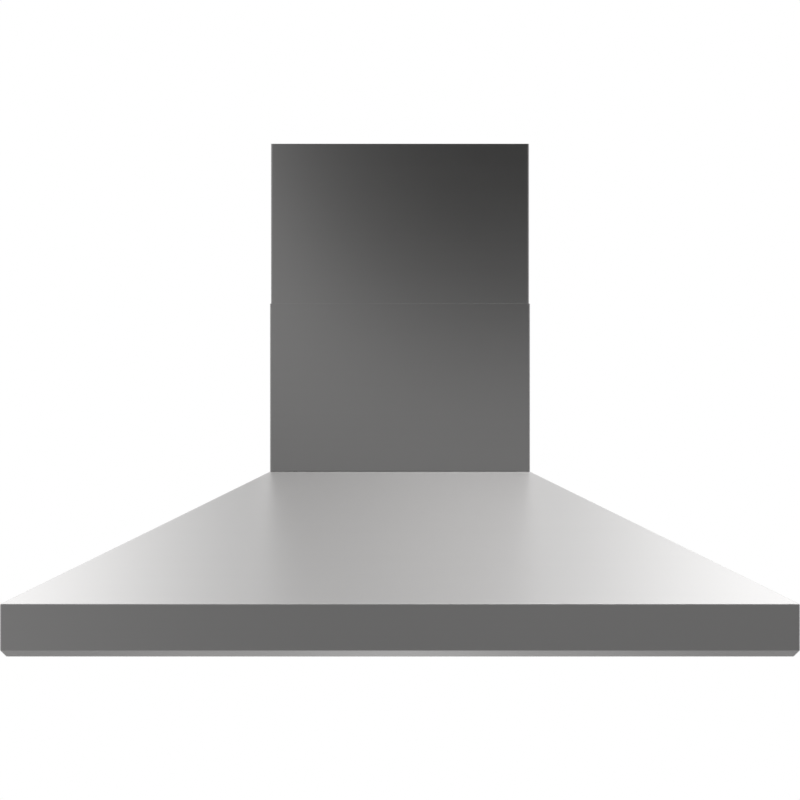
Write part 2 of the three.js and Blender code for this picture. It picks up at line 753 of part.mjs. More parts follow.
// The board with one small switch over each button.
function switchBoard() {
  const half = switchHousingHalf - PART_GAP;
  const depth = controlCutDepth - PART_GAP;
  const plate = alongZ(
    rectangle(-half, -STRIP_CENTRE - depth, half, -STRIP_CENTRE + depth),
    boardBottom,
    boardBottom + 2 * PART_GAP - GAP,
  );
  const switches = buttonPlaces.map((x) =>
    alongZ(
      rectangle(x - 3, -STRIP_CENTRE - 3, x + 3, -STRIP_CENTRE + 3),
      boardBottom - PART_GAP / 2,
      boardBottom + PART_GAP / 2,
    ),
  );
  return join(plate, ...switches);
}

const buttonNames = ["light", "low", "medium", "high", "off"];
place("button_plate", buttonPlate(), brushedSteel);
buttonNames.forEach((name, i) => place(`button_${name}`, pushButton(buttonPlaces[i]), brightSteel));
place("switch_housing", switchHousing(), blackPlastic);
place("switch_board", switchBoard(), greenBoard);

// ---- Lamps ----

const LAMP_SIDES = 18;

function lampBezel(x) {
  const inner = LAMP_RADIUS - 2 * LAMP_WALL - PART_GAP;
  const seat = LAMP_RADIUS - LAMP_WALL;
  const shelf = PLATE_TOP - 2 * LAMP_WALL / 3;
  const face = PLATE_TOP - PLATE_SHEET - PART_GAP;
  const profile = [
    [inner, face],
    [BEZEL_RADIUS - PART_GAP, face],
    [BEZEL_RADIUS, face + PART_GAP],
    [BEZEL_RADIUS, PLATE_TOP],
    [seat, PLATE_TOP],
    [seat, shelf],
    [inner, shelf],
    [inner, face],
  ];
  return turnedUpright(profile, x, -STRIP_CENTRE, LAMP_SIDES);
}

function lampLens(x) {
  const radius = LAMP_RADIUS - LAMP_WALL - LENS_GAP;
  const bottom = PLATE_TOP - 2 * LAMP_WALL / 3 + GAP;
  const top = bottom + LENS_THICKNESS;
  const edge = LENS_THICKNESS / 3;
  const profile = [
    [0, bottom],
    [radius - edge, bottom],
    [radius, bottom + edge],
    [radius, top],
    [0, top],
  ];
  return turnedUpright(profile, x, -STRIP_CENTRE, LAMP_SIDES);
}

// A cup that is open below, with cooling fins round its upper half.
function lampHousing(x) {
  const bottom = PLATE_TOP + GAP;
  const top = bottom + LAMP_HEIGHT;
  const bore = LAMP_RADIUS - LAMP_WALL;
  const core = LAMP_RADIUS * 0.7;
  const finPitch = LAMP_HEIGHT / 2 / LAMP_FINS;
  const fins = Array.from({ length: LAMP_FINS }, (_, i) => {
    const low = bottom + LAMP_HEIGHT / 2 + i * finPitch;
    return [
      [core, low],
      [core, low + finPitch / 2],
      [LAMP_RADIUS, low + finPitch / 2],
      [LAMP_RADIUS, low + finPitch],
    ];
  }).flat();
  const profile = [
    [bore, bottom],
    [LAMP_RADIUS, bottom],
    [LAMP_RADIUS, bottom + LAMP_HEIGHT / 2],
    ...fins,
    [0, top],
    [0, bottom + LAMP_HEIGHT / 2 - LAMP_WALL],
    [bore, bottom + LAMP_HEIGHT / 2 - LAMP_WALL],
    [bore, bottom],
  ];
  return turnedUpright(profile, x, -STRIP_CENTRE, LAMP_SIDES);
}

["left", "right"].forEach((side, i) => {
  place(`lamp_bezel_${side}`, lampBezel(lampPlaces[i]), brightSteel);
  place(`lamp_lens_${side}`, lampLens(lampPlaces[i]), frostedGlass);
  place(`lamp_housing_${side}`, lampHousing(lampPlaces[i]), castAluminium);
});

// ---- Blower box and scroll ----

const shaftY = SCROLL_CENTRE.y;
const shaftZ = SCROLL_CENTRE.z;
const TONGUE_ANGLE = 360 - SCROLL_SWEEP;
const tongue = THREE.MathUtils.degToRad(TONGUE_ANGLE);
const throatFront = shaftY + SCROLL_LEAST_RADIUS * Math.cos(tongue);
const throatBack = shaftY + SCROLL_GREATEST_RADIUS;
const SPIRAL_STEPS = 18;

// The scroll from its end: a spiral that grows from the tongue and runs into an upright outlet.
function scrollOutline(inset, top) {
  const growth = SCROLL_GREATEST_RADIUS - SCROLL_LEAST_RADIUS;
  const spiral = Array.from({ length: SPIRAL_STEPS + 1 }, (_, i) => {
    const share = i / SPIRAL_STEPS;
    const angle = THREE.MathUtils.degToRad(TONGUE_ANGLE + SCROLL_SWEEP * share);
    const radius = SCROLL_LEAST_RADIUS + growth * share - inset;
    return [shaftY + radius * Math.cos(angle), shaftZ + radius * Math.sin(angle)];
  });
  const front = throatFront + inset;
  const tip = spiral[0];
  const outline = [[Math.min(tip[0], front), tip[1]], ...spiral.slice(1), [throatBack - inset, top], [front, top]];
  return inset > 0 ? [...outline, [front, tip[1]]] : outline;
}

function scrollHalf(side) {
  const outer = SCROLL_WIDTH / 2;
  const spread = (outline, near, far) =>
    side > 0 ? alongX(outline, near, far) : alongX(outline, -far, -near);
  const split = GAP / 2;
  const rim = 2 * SCROLL_WALL;
  const mouthHeight = 2 * SCROLL_WALL;
  const inlet = circle(shaftY, shaftZ, INLET_RADIUS + SCROLL_WALL / 2, 32);
  const mouth = [
    [INLET_RADIUS, -SCROLL_WALL / 2],
    [INLET_RADIUS + SCROLL_WALL, -SCROLL_WALL / 2],
    [INLET_RADIUS + SCROLL_WALL, mouthHeight / 2],
    [INLET_RADIUS + 2 * SCROLL_WALL, mouthHeight],
    [INLET_RADIUS + SCROLL_WALL, mouthHeight],
    [INLET_RADIUS, mouthHeight / 2],
    [INLET_RADIUS, -SCROLL_WALL / 2],
  ];
  const mouthPoints = side > 0 ? mouth : [...mouth].reverse();
  const mouthRing = turnedAlongX(
    mouthPoints.map(([radius, x]) => [radius, side * (outer + x)]),
    shaftY,
    shaftZ,
    32,
  );
  const shell = cut(
    join(
      spread(scrollOutline(0, SCROLL_TOP), split, outer),
      spread(scrollOutline(-rim, SCROLL_TOP), split, split + SCROLL_WALL),
    ),
    spread(scrollOutline(SCROLL_WALL, SCROLL_TOP + PART_GAP), split - PART_GAP, outer - SCROLL_WALL),
    spread(inlet, outer - 2 * SCROLL_WALL, outer + SCROLL_WALL),
  );
  return join(shell, mouthRing);
}

const throatOutline = (inset) =>
  rectangle(
    -SCROLL_WIDTH / 2 + inset,
    throatFront + inset,
    SCROLL_WIDTH / 2 - inset,
    throatBack - inset,
  );
const GROMMET_LENGTH = 34;
const GROMMET_WIDTH = 16;
const junctionX = -BOX_WIDTH / 2 + JUNCTION_SIZE[0] / 2 + 2 * PART_GAP;
const junctionFront = -DUCT_CENTRE - JUNCTION_SIZE[1] / 2;
const grommetY = junctionFront - GROMMET_WIDTH - 4 * PART_GAP;

function grommetOutline(inset) {
  const half = GROMMET_LENGTH / 2 - inset;
  const radius = GROMMET_WIDTH / 2 - inset;
  return roundedRectangle(junctionX - half, grommetY - radius, junctionX + half, grommetY + radius, radius, 5);
}

function blowerBox() {
  const outline = (outset) =>
    roundedRectangle(
      -BOX_WIDTH / 2 - outset,
      BOX_FRONT - outset,
      BOX_WIDTH / 2 + outset,
      BOX_BACK + outset,
      COVER_BEND_RADIUS,
      2,
    );
  return cut(
    join(
      alongZ(outline(0), BOX_BOTTOM, BOX_TOP),
      alongZ(outline(BOX_FLANGE), BOX_BOTTOM, BOX_BOTTOM + BOX_SHEET),
    ),
    alongZ(outline(-BOX_SHEET), BOX_BOTTOM - PART_GAP, BOX_TOP - BOX_SHEET),
    alongZ(throatOutline(SCROLL_WALL), BOX_TOP - 2 * BOX_SHEET, BOX_TOP + BOX_SHEET),
    alongZ(grommetOutline(2 * PART_GAP), BOX_TOP - 2 * BOX_SHEET, BOX_TOP + BOX_SHEET),
  );
}

place("blower_box", blowerBox(), galvanised);
place("scroll_left", scrollHalf(-1), greyPlastic);
place("scroll_right", scrollHalf(1), greyPlastic);
place(
  "outlet_gasket",
  alongZ(throatOutline(0), SCROLL_TOP + GAP, BOX_TOP - BOX_SHEET - GAP, [throatOutline(SCROLL_WALL)]),
  blackRubber,
);

// ---- Blower wheel and motor ----

const MOTOR_START = -2 * SHAFT_RADIUS;
const SHAFT_SEAT = 14;

// A forward-curved blade seen from the wheel's end.
function bladeOutline(turn) {
  const steps = 2;
  const lead = THREE.MathUtils.degToRad(360 / BLADE_COUNT / 1.4);
  const face = Array.from({ length: steps + 1 }, (_, i) => {
    const share = i / steps;
    const radius = WHEEL_RADIUS - BLADE_DEPTH * (1 - share);
    const angle = turn + lead * share * share;
    return [shaftY + radius * Math.cos(angle), shaftZ + radius * Math.sin(angle)];
  });
  return foldedSheet(face, BLADE_SHEET);
}

// A double-inlet wheel: one row of blades held by a middle disc and a ring at each end.
function blowerWheel() {
  const half = WHEEL_WIDTH / 2;
  const ringDepth = BLADE_SHEET * 2;
  const bore = SHAFT_RADIUS + GAP;
  const inner = WHEEL_RADIUS - BLADE_DEPTH - PART_GAP;
  const outer = WHEEL_RADIUS + PART_GAP;
  const disc = turnedAlongX(
    [
      [bore, -ringDepth],
      [HUB_RADIUS, -ringDepth],
      [HUB_RADIUS, -BLADE_SHEET / 2],
      [outer, -BLADE_SHEET / 2],
      [outer, BLADE_SHEET / 2],
      [HUB_RADIUS, BLADE_SHEET / 2],
      [HUB_RADIUS, 2 * HUB_RADIUS],
      [bore, 2 * HUB_RADIUS],
      [bore, -ringDepth],
    ],
    shaftY,
    shaftZ,
    BLADE_COUNT,
  );
  const ring = (low, high) =>
    turnedAlongX(
      [
        [inner, low],
        [outer, low],
        [outer, high],
        [inner, high],
        [inner, low],
      ],
      shaftY,
      shaftZ,
      BLADE_COUNT,
    );
  const blades = Array.from({ length: BLADE_COUNT }, (_, i) =>
    alongX(bladeOutline((2 * Math.PI * i) / BLADE_COUNT), -half + PART_GAP, half - PART_GAP),
  );
  return join(disc, ring(-half, -half + ringDepth), ring(half - ringDepth, half), ...blades);
}

function motorShaft() {
  const low = MOTOR_START - SHAFT_SEAT + PART_GAP;
  const high = 2 * HUB_RADIUS - PART_GAP;
  const profile = [
    [0, low],
    [SHAFT_RADIUS, low],
    [SHAFT_RADIUS, high],
    [0, high],
  ];
  return turnedAlongX(profile, shaftY, shaftZ, 16);
}

function motorBody() {
  const end = MOTOR_START - MOTOR_LENGTH;
  const dome = MOTOR_RADIUS / 6;
  const bore = SHAFT_RADIUS + GAP;
  const profile = [
    [0, end],
    [MOTOR_RADIUS - dome, end],
    [MOTOR_RADIUS, end + dome],
    [MOTOR_RADIUS, MOTOR_START - 2 * dome],
    [MOTOR_RADIUS - dome, MOTOR_START - dome],
    [HUB_RADIUS, MOTOR_START - dome],
    [HUB_RADIUS, MOTOR_START],
    [bore, MOTOR_START],
    [bore, MOTOR_START - SHAFT_SEAT],
    [0, MOTOR_START - SHAFT_SEAT],
  ];
  return turnedAlongX(profile, shaftY, shaftZ, 28);
}

const ARM_ANGLES = [30, 150, 270];
const armRadius = INLET_RADIUS + 2 * SCROLL_WALL + BUSH_RADIUS + PART_GAP;
const bushOuter = -SCROLL_WIDTH / 2 - GAP;
const spiderInner = bushOuter - BUSH_HEIGHT - GAP;

// A ring round the motor with three arms that reach over the inlet to the rubber bushes.
function motorSpider() {
  const low = spiderInner - SPIDER_SHEET;
  const clamp = MOTOR_RADIUS + GAP;
  const ring = alongX(
    circle(shaftY, shaftZ, clamp + 2 * SPIDER_SHEET, 28),
    low - 2 * SPIDER_SHEET,
    spiderInner,
    [circle(shaftY, shaftZ, clamp, 28)],
  );
  const arms = ARM_ANGLES.map((degrees) => {
    const angle = THREE.MathUtils.degToRad(degrees);
    const along = new THREE.Vector2(Math.cos(angle), Math.sin(angle));
    const across = new THREE.Vector2(-along.y, along.x);
    const corner = (reach, side) => [
      shaftY + along.x * reach + across.x * side * BUSH_RADIUS,
      shaftZ + along.y * reach + across.y * side * BUSH_RADIUS,
    ];
    const near = clamp + SPIDER_SHEET;
    const far = armRadius + BUSH_RADIUS;
    return alongX([corner(near, -1), corner(far, -1), corner(far, 1), corner(near, 1)], low, spiderInner);
  });
  return join(ring, ...arms);
}

function motorBush(degrees) {
  const angle = THREE.MathUtils.degToRad(degrees);
  const waist = BUSH_RADIUS * 0.75;
  const profile = [
    [0, bushOuter - BUSH_HEIGHT],
    [BUSH_RADIUS, bushOuter - BUSH_HEIGHT],
    [waist, bushOuter - BUSH_HEIGHT / 2],
    [BUSH_RADIUS, bushOuter],
    [0, bushOuter],
  ];
  const y = shaftY + armRadius * Math.cos(angle);
  const z = shaftZ + armRadius * Math.sin(angle);
  return turnedAlongX(profile, y, z, 12);
}

place("blower_wheel", blowerWheel(), greyPlastic);
place("motor_shaft", motorShaft(), brightSteel);
place("motor", motorBody(), castAluminium);
place("motor_spider", motorSpider(), galvanised);
["rear", "front", "lower"].forEach((side, i) => {
  place(`motor_bush_${side}`, motorBush(ARM_ANGLES[i]), blackRubber);
});

// ---- Outlet adapter and its damper ----

const throatCentre = (throatFront + throatBack) / 2;
const throatHalfDepth = (throatBack - throatFront) / 2;
const ADAPTER_POINTS = 24;

// A level ring of the adapter: the scroll's rectangle at blend 0, the round duct at blend 1.
function adapterRing(blend, inset, height) {
  return Array.from({ length: ADAPTER_POINTS }, (_, i) => {
    const angle = (2 * Math.PI * (i + 0.5)) / ADAPTER_POINTS;
    const cos = Math.cos(angle);
    const sin = Math.sin(angle);
    const halfWidth = SCROLL_WIDTH / 2 - inset;
    const halfDepth = throatHalfDepth - inset;
    const reach = 1 / Math.max(Math.abs(cos) / halfWidth, Math.abs(sin) / halfDepth);
    const square = [cos * reach, throatCentre + sin * reach];
    const round = [cos * (DUCT_RADIUS - inset), -DUCT_CENTRE + sin * (DUCT_RADIUS - inset)];
    return [
      THREE.MathUtils.lerp(square[0], round[0], blend),
      THREE.MathUtils.lerp(square[1], round[1], blend),
      height,
    ];
  });
}

const flapRadius = DUCT_RADIUS - COLLAR_WALL - PART_GAP;
const flapUnderside = PIN_HEIGHT - FLAP_SHEET;
const pinBore = FLAP_PIN_RADIUS + GAP;
const knuckleRadius = pinBore + FLAP_KNUCKLE_WALL;

function outletAdapter() {
  const base = OUTLET_FLANGE;
  const flange = alongZ(
    roundedRectangle(
      -SCROLL_WIDTH / 2 - base,
      throatFront - base,
      SCROLL_WIDTH / 2 + base,
      throatBack + base,
      base / 2,
      2,
    ),
    ADAPTER_BOTTOM,
    ADAPTER_BOTTOM + COLLAR_WALL,
  );
  const foot = ADAPTER_BOTTOM + COLLAR_WALL;
  const outside = lofted([
    adapterRing(0, 0, ADAPTER_BOTTOM),
    adapterRing(0, 0, foot),
    adapterRing(1, 0, COLLAR_BOTTOM),
    adapterRing(1, 0, COLLAR_TOP),
  ]);
  const inside = lofted([
    adapterRing(0, COLLAR_WALL, ADAPTER_BOTTOM - PART_GAP),
    adapterRing(0, COLLAR_WALL, foot),
    adapterRing(1, COLLAR_WALL, COLLAR_BOTTOM),
    adapterRing(1, COLLAR_WALL, COLLAR_TOP + PART_GAP),
  ]);
  const ledgeTop = flapUnderside - GAP;
  const ledgeInner = flapRadius - 2 * FLAP_KNUCKLE_WALL * COLLAR_WALL;
  const ledgeOuter = DUCT_RADIUS - COLLAR_WALL / 2;
  const ledge = turnedUpright(
    [
      [ledgeInner, ledgeTop - COLLAR_WALL],
      [ledgeOuter, ledgeTop - COLLAR_WALL],
      [ledgeOuter, ledgeTop],
      [ledgeInner, ledgeTop],
      [ledgeInner, ledgeTop - COLLAR_WALL],
    ],
    0,
    -DUCT_CENTRE,
    ADAPTER_POINTS,
  );
  const pinHole = alongX(circle(-DUCT_CENTRE, PIN_HEIGHT, pinBore, 10), -DUCT_RADIUS - 1, DUCT_RADIUS + 1);
  return cut(join(cut(join(flange, outside), inside), ledge), pinHole);
}

// Half of the round damper. Its knuckles on the pin take turns with those of the other half.
function damperFlap(side) {
  const clear = knuckleRadius + GAP + 0.1;
  const startAngle = THREE.MathUtils.radToDeg(Math.asin(clear / flapRadius));
  const halfDisc = arc(0, 0, flapRadius, startAngle, 180 - startAngle, 14);
  const toPlan = ([x, y]) => [x, -DUCT_CENTRE + side * y];
  const plate = alongZ(halfDisc.map(toPlan), flapUnderside, PIN_HEIGHT);
  const span = 0.84 * flapRadius;
  const knuckles = 5;
  const length = (2 * span) / knuckles;
  const bodies = [];
  for (let i = side > 0 ? 1 : 0; i < knuckles; i += 2) {
    const low = -span + i * length + GAP;
    const high = low + length - 2 * GAP;
    const tab = rectangle(low, (pinBore + knuckleRadius) / 2, high, clear + PART_GAP).map(toPlan);
    bodies.push(alongZ(tab, flapUnderside, PIN_HEIGHT));
    bodies.push(alongX(circle(-DUCT_CENTRE, PIN_HEIGHT, knuckleRadius, 12), low, high));
  }
  const bore = alongX(circle(-DUCT_CENTRE, PIN_HEIGHT, pinBore, 12), -flapRadius, flapRadius);
  return cut(join(plate, ...bodies), bore);
}

place("outlet_adapter", outletAdapter(), blackPlastic);
place("damper_flap_front", damperFlap(-1), blackPlastic);
place("damper_flap_rear", damperFlap(1), blackPlastic);
place(
  "damper_pin",
  alongX(circle(-DUCT_CENTRE, PIN_HEIGHT, FLAP_PIN_RADIUS, 10), -DUCT_RADIUS, DUCT_RADIUS),
  brightSteel,
);

// ---- Electrical pieces ----

const junctionHalf = JUNCTION_SIZE[0] / 2;
const junctionBack = junctionFront + JUNCTION_SIZE[1];
const junctionBottom = BOX_TOP + GAP;
const junctionTop = junctionBottom + JUNCTION_SIZE[2];
const glandHeight = junctionBottom + JUNCTION_SIZE[2] / 2;
const shankRadius = GLAND_RADIUS * 0.65;

function junctionOutline(inset) {
  return roundedRectangle(
    junctionX - junctionHalf + inset,
    junctionFront + inset,
    junctionX + junctionHalf - inset,
    junctionBack - inset,
    CORNER_RADIUS - inset,
    2,
  );
}

function junctionBox() {
  const hole = circle(junctionX, glandHeight, shankRadius + GAP, 16);
  return cut(
    alongZ(junctionOutline(0), junctionBottom, junctionTop),
    alongZ(junctionOutline(JUNCTION_WALL), junctionBottom + JUNCTION_WALL, junctionTop + PART_GAP),
    alongY(hole, junctionBack - 2 * JUNCTION_WALL, junctionBack + JUNCTION_WALL),
  );
}

// The lid's skirt drops inside the box's walls.
function junctionLid() {
  const seat = junctionTop + GAP;
  const skirt = JUNCTION_WALL + GAP;
  return join(
    alongZ(junctionOutline(0), seat, seat + JUNCTION_WALL),
    alongZ(junctionOutline(skirt), seat - 2 * JUNCTION_WALL, seat + JUNCTION_WALL / 2, [
      junctionOutline(skirt + JUNCTION_WALL / 2),
    ]),
  );
}

// A gland with its shank through the box's wall, a nut face and a domed cap with the cable's bore.
function mainsGland() {
  const wall = junctionBack + GAP;
  const bore = GLAND_RADIUS * 0.45;
  const profile = [
    [bore, wall - 2 * JUNCTION_WALL],
    [shankRadius, wall - 2 * JUNCTION_WALL],
    [shankRadius, wall],
    [GLAND_RADIUS, wall],
    [GLAND_RADIUS, wall + GLAND_RADIUS],
    [GLAND_RADIUS * 0.7, wall + 1.6 * GLAND_RADIUS],
    [bore, wall + 1.6 * GLAND_RADIUS],
    [bore, wall - 2 * JUNCTION_WALL],
  ];
  return solid(turned(profile, 16).translate(junctionX, 0, glandHeight));
}

const capacitorX = BOX_WIDTH / 2 - BOX_SHEET - CAPACITOR_RADIUS - 2 * PART_GAP;
const capacitorY = BOX_FRONT + BOX_DEPTH / 5;
const capacitorBottom = shaftZ - CAPACITOR_HEIGHT / 2;

function capacitor() {
  const top = capacitorBottom + CAPACITOR_HEIGHT;
  const profile = [
    [0, capacitorBottom],
    [CAPACITOR_RADIUS, capacitorBottom],
    [CAPACITOR_RADIUS, top - PART_GAP],
    [CAPACITOR_RADIUS / 2, top - PART_GAP],
    [CAPACITOR_RADIUS / 2, top + 2 * PART_GAP],
    [0, top + 2 * PART_GAP],
  ];
  return turnedUpright(profile, capacitorX, capacitorY, 20);
}

// A strap that runs along the box's wall, round the capacitor and back to the wall.
function capacitorClip() {
  const wall = BOX_WIDTH / 2 - BOX_SHEET - GAP;
  const reach = CAPACITOR_RADIUS + GAP;
  const tail = 1.6 * CAPACITOR_RADIUS;
  const face = [
    [wall, capacitorY + tail],
    [wall, capacitorY + reach],
    ...arc(capacitorX, capacitorY, reach, 90, 270, 8),
    [wall, capacitorY - reach],
    [wall, capacitorY - tail],
  ];
  const middle = capacitorBottom + CAPACITOR_HEIGHT / 2;
  const half = CAPACITOR_HEIGHT / 8;
  return alongZ(foldedSheet(face, -COVER_SHEET), middle - half, middle + half);
}

const driverX = (switchHousingHalf + LAMP_SPACING / 2 - LAMP_RADIUS) / 2;
const driverBottom = PANEL_TOP + GAP;

function lampDriver() {
  const [length, width, height] = DRIVER_SIZE;
  const outline = roundedRectangle(
    driverX - length / 2,
    -STRIP_CENTRE - width / 2,
    driverX + length / 2,
    -STRIP_CENTRE + width / 2,
    CORNER_RADIUS,
    2,
  );
  return alongZ(outline, driverBottom, driverBottom + height);
}

function leadGrommet() {
  const holes = [-1, 1].map((side) =>
    circle(junctionX + (side * GROMMET_LENGTH) / 4, grommetY, LEAD_RADIUS + GAP, 10),
  );
  const flangeBottom = BOX_TOP + GAP;
  return join(
    alongZ(grommetOutline(0), flangeBottom, flangeBottom + 2 * PART_GAP, holes),
    alongZ(
      grommetOutline(2 * PART_GAP + GAP),
      BOX_TOP - BOX_SHEET - PART_GAP,
      flangeBottom + PART_GAP,
      holes,
    ),
  );
}

// A lead along a smooth line through its points.
function lead(points, steps) {
  const path = new THREE.CatmullRomCurve3(points.map(([x, y, z]) => new THREE.Vector3(x, y, z)));
  const section = toShape(circle(0, 0, LEAD_RADIUS, 8), []);
  return solid(new THREE.ExtrudeGeometry(section, { steps, extrudePath: path, bevelEnabled: false }));
}

const leadRest = PANEL_TOP + PART_GAP + LEAD_RADIUS;
const lampSide = LAMP_RADIUS + GAP;
const leadInnerX = junctionX + GROMMET_LENGTH / 4;
const leadOuterX = junctionX - GROMMET_LENGTH / 4;
const leadEntry = junctionBottom + JUNCTION_SIZE[2] / 2;

// Upright points above, in and below the grommet, so that a lead runs straight through it.
function throughGrommet(x) {
  return [14, 6, -6, -30].map((rise) => [x, grommetY, BOX_TOP + rise]);
}

function motorLead() {
  const motorEnd = MOTOR_START - MOTOR_LENGTH - GAP;
  return lead(
    [
      [leadInnerX, junctionFront - GAP, leadEntry],
      [leadInnerX, junctionFront - 6, leadEntry],
      ...throughGrommet(leadInnerX),
      [leadInnerX - 3, grommetY + 10, shaftZ + 50],
      [leadInnerX - 4, shaftY, shaftZ + 18],
      [motorEnd - 6, shaftY, shaftZ + 8],
      [motorEnd, shaftY, shaftZ + 8],
    ],
    22,
  );
}

function lampLeadRight() {
  const driverEnd = driverX + DRIVER_SIZE[0] / 2 + GAP;
  const lampEnd = LAMP_SPACING / 2 - lampSide;
  return lead(
    [
      [driverEnd, -STRIP_CENTRE, leadRest + 3],
      [driverEnd + 8, -STRIP_CENTRE, leadRest + 2],
      [lampEnd - 8, -STRIP_CENTRE, leadRest + 2],
      [lampEnd, -STRIP_CENTRE, leadRest + 3],
    ],
    10,
  );
}

function lampLeadLeft() {
  const driverRear = -STRIP_CENTRE + DRIVER_SIZE[1] / 2 + GAP;
  const lampEnd = -LAMP_SPACING / 2 + lampSide;
  return lead(
    [
      [driverX, driverRear, leadRest],
      [driverX, driverRear + 6, leadRest],
      [driverX - 20, -STRIP_CENTRE + 34, leadRest],
      [-switchHousingHalf - 50, -STRIP_CENTRE + 34, leadRest],
      [lampEnd + 30, -STRIP_CENTRE + 8, leadRest],
      [lampEnd + 8, -STRIP_CENTRE, leadRest + 2],
      [lampEnd, -STRIP_CENTRE, leadRest + 3],
    ],
    20,
  );
}

// From the switches, up the inside of the front slope and the blower box, to the junction box.
function controlLead() {
  const housingEnd = -switchHousingHalf - SWITCH_HOUSING_WALL - GAP;
  const slope = (share, clear) => [
    leadOuterX,
    -CANOPY_DEPTH + FRONT_RUN * share + FRONT_INSET + clear,
    APRON_TOP + PYRAMID_HEIGHT * share,
  ];
  const boxWall = BOX_FRONT + BOX_SHEET + 2 * LEAD_RADIUS;
  return lead(
    [
      [housingEnd, -STRIP_CENTRE, leadRest + 4],
      [housingEnd - 10, -STRIP_CENTRE, leadRest + 4],
      [leadOuterX + 6, -STRIP_CENTRE - 8, leadRest + 14],
      slope(0.15, 9 * LEAD_RADIUS),
      slope(0.35, 5 * LEAD_RADIUS),
      slope(0.55, 4 * LEAD_RADIUS),
      [leadOuterX, boxWall - 26, BOX_BOTTOM - 36],
      [leadOuterX, boxWall + 3, BOX_BOTTOM - 16],
      [leadOuterX, boxWall, BOX_BOTTOM + 24],
      [leadOuterX, boxWall, shaftZ],
      [leadOuterX, boxWall + 4, BOX_TOP - 60],
      ...throughGrommet(leadOuterX).reverse(),
      [leadOuterX, junctionFront - 6, leadEntry],
      [leadOuterX, junctionFront - GAP, leadEntry],
    ],
    36,
  );
}

place("junction_box", junctionBox(), greyPlastic);
place("junction_lid", junctionLid(), greyPlastic);
place("mains_gland", mainsGland(), blackPlastic);
place("capacitor", capacitor(), castAluminium);
place("capacitor_clip", capacitorClip(), galvanised);
place("lamp_driver", lampDriver(), blackPlastic);
place("lead_grommet", leadGrommet(), blackRubber);
place("motor_lead", motorLead(), blackRubber);
place("lamp_lead_left", lampLeadLeft(), blackRubber);
place("lamp_lead_right", lampLeadRight(), blackRubber);
place("control_lead", controlLead(), blackRubber);

hood.name = "range_hood";
export default hood;
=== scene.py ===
"""A wall-mounted chimney range hood in brushed stainless steel, laid out as a Blender add-on.

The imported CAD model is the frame. Each operator dresses one group of its pieces with folded
sheets, turned parts and finished copies, and gives each piece its finish. Lengths are in metres.
"""

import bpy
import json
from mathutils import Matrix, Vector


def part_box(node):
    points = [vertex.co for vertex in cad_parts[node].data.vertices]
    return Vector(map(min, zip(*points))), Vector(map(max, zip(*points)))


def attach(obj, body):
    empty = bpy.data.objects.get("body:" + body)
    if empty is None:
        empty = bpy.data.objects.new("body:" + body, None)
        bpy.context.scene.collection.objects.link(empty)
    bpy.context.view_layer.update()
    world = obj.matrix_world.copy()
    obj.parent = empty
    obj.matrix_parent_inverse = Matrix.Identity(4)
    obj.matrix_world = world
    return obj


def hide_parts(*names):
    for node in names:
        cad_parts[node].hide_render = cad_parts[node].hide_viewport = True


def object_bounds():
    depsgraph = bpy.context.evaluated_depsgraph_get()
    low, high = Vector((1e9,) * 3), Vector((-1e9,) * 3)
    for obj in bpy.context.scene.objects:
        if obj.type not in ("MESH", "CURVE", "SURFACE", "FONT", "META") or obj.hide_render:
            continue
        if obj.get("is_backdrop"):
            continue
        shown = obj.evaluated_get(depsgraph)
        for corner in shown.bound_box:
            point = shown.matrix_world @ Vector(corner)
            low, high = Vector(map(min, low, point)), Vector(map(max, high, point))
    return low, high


bl_info = {
    "name": "Chimney Range Hood",
    "version": (1, 0, 0),
    "blender": (4, 5, 0),
    "location": "3D View > Sidebar > Range Hood",
    "description": "Dresses the packed range hood with skins, fittings and finishes in a studio",
    "category": "Object",
}

import json
import math

import bmesh
import bpy
from bpy.props import FloatProperty, FloatVectorProperty, IntProperty, PointerProperty
from mathutils import Vector

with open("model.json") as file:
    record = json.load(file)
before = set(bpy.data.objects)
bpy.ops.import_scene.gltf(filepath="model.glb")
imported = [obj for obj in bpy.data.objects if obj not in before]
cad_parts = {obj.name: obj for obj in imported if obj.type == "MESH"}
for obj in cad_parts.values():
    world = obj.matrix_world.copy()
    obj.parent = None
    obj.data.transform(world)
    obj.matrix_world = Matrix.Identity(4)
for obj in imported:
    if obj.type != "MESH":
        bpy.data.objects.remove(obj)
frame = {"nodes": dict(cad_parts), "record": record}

RECORD = frame["record"]
BODY_OF = {node: body for body, nodes in RECORD["behaviour"]["bodies"].items() for node in nodes}
SLOT_OF = {part["node"]: part["material_slot"] for part in RECORD["subparts"]}
FILTER_SIDES = ("left", "centre", "right")
LAMP_SIDES = ("left", "right")
BUSH_SIDES = ("rear", "front", "lower")
BUTTONS = ("light", "low", "medium", "high", "off")


# ---- What a user would change ----


def length(name, description, default):
    return FloatProperty(
        name=name, description=description, default=default, min=0.0, unit="LENGTH"
    )


def colour(name, description, default):
    return FloatVectorProperty(
        name=name,
        description=description,
        default=default,
        min=0.0,
        max=1.0,
        size=3,
        subtype="COLOR",
    )


def share(name, description, default):
    return FloatProperty(
        name=name, description=description, default=default, min=0.0, max=1.0, subtype="FACTOR"
    )


def radiance(name, description, default):
    return FloatProperty(name=name, description=description, default=default, min=0.0)


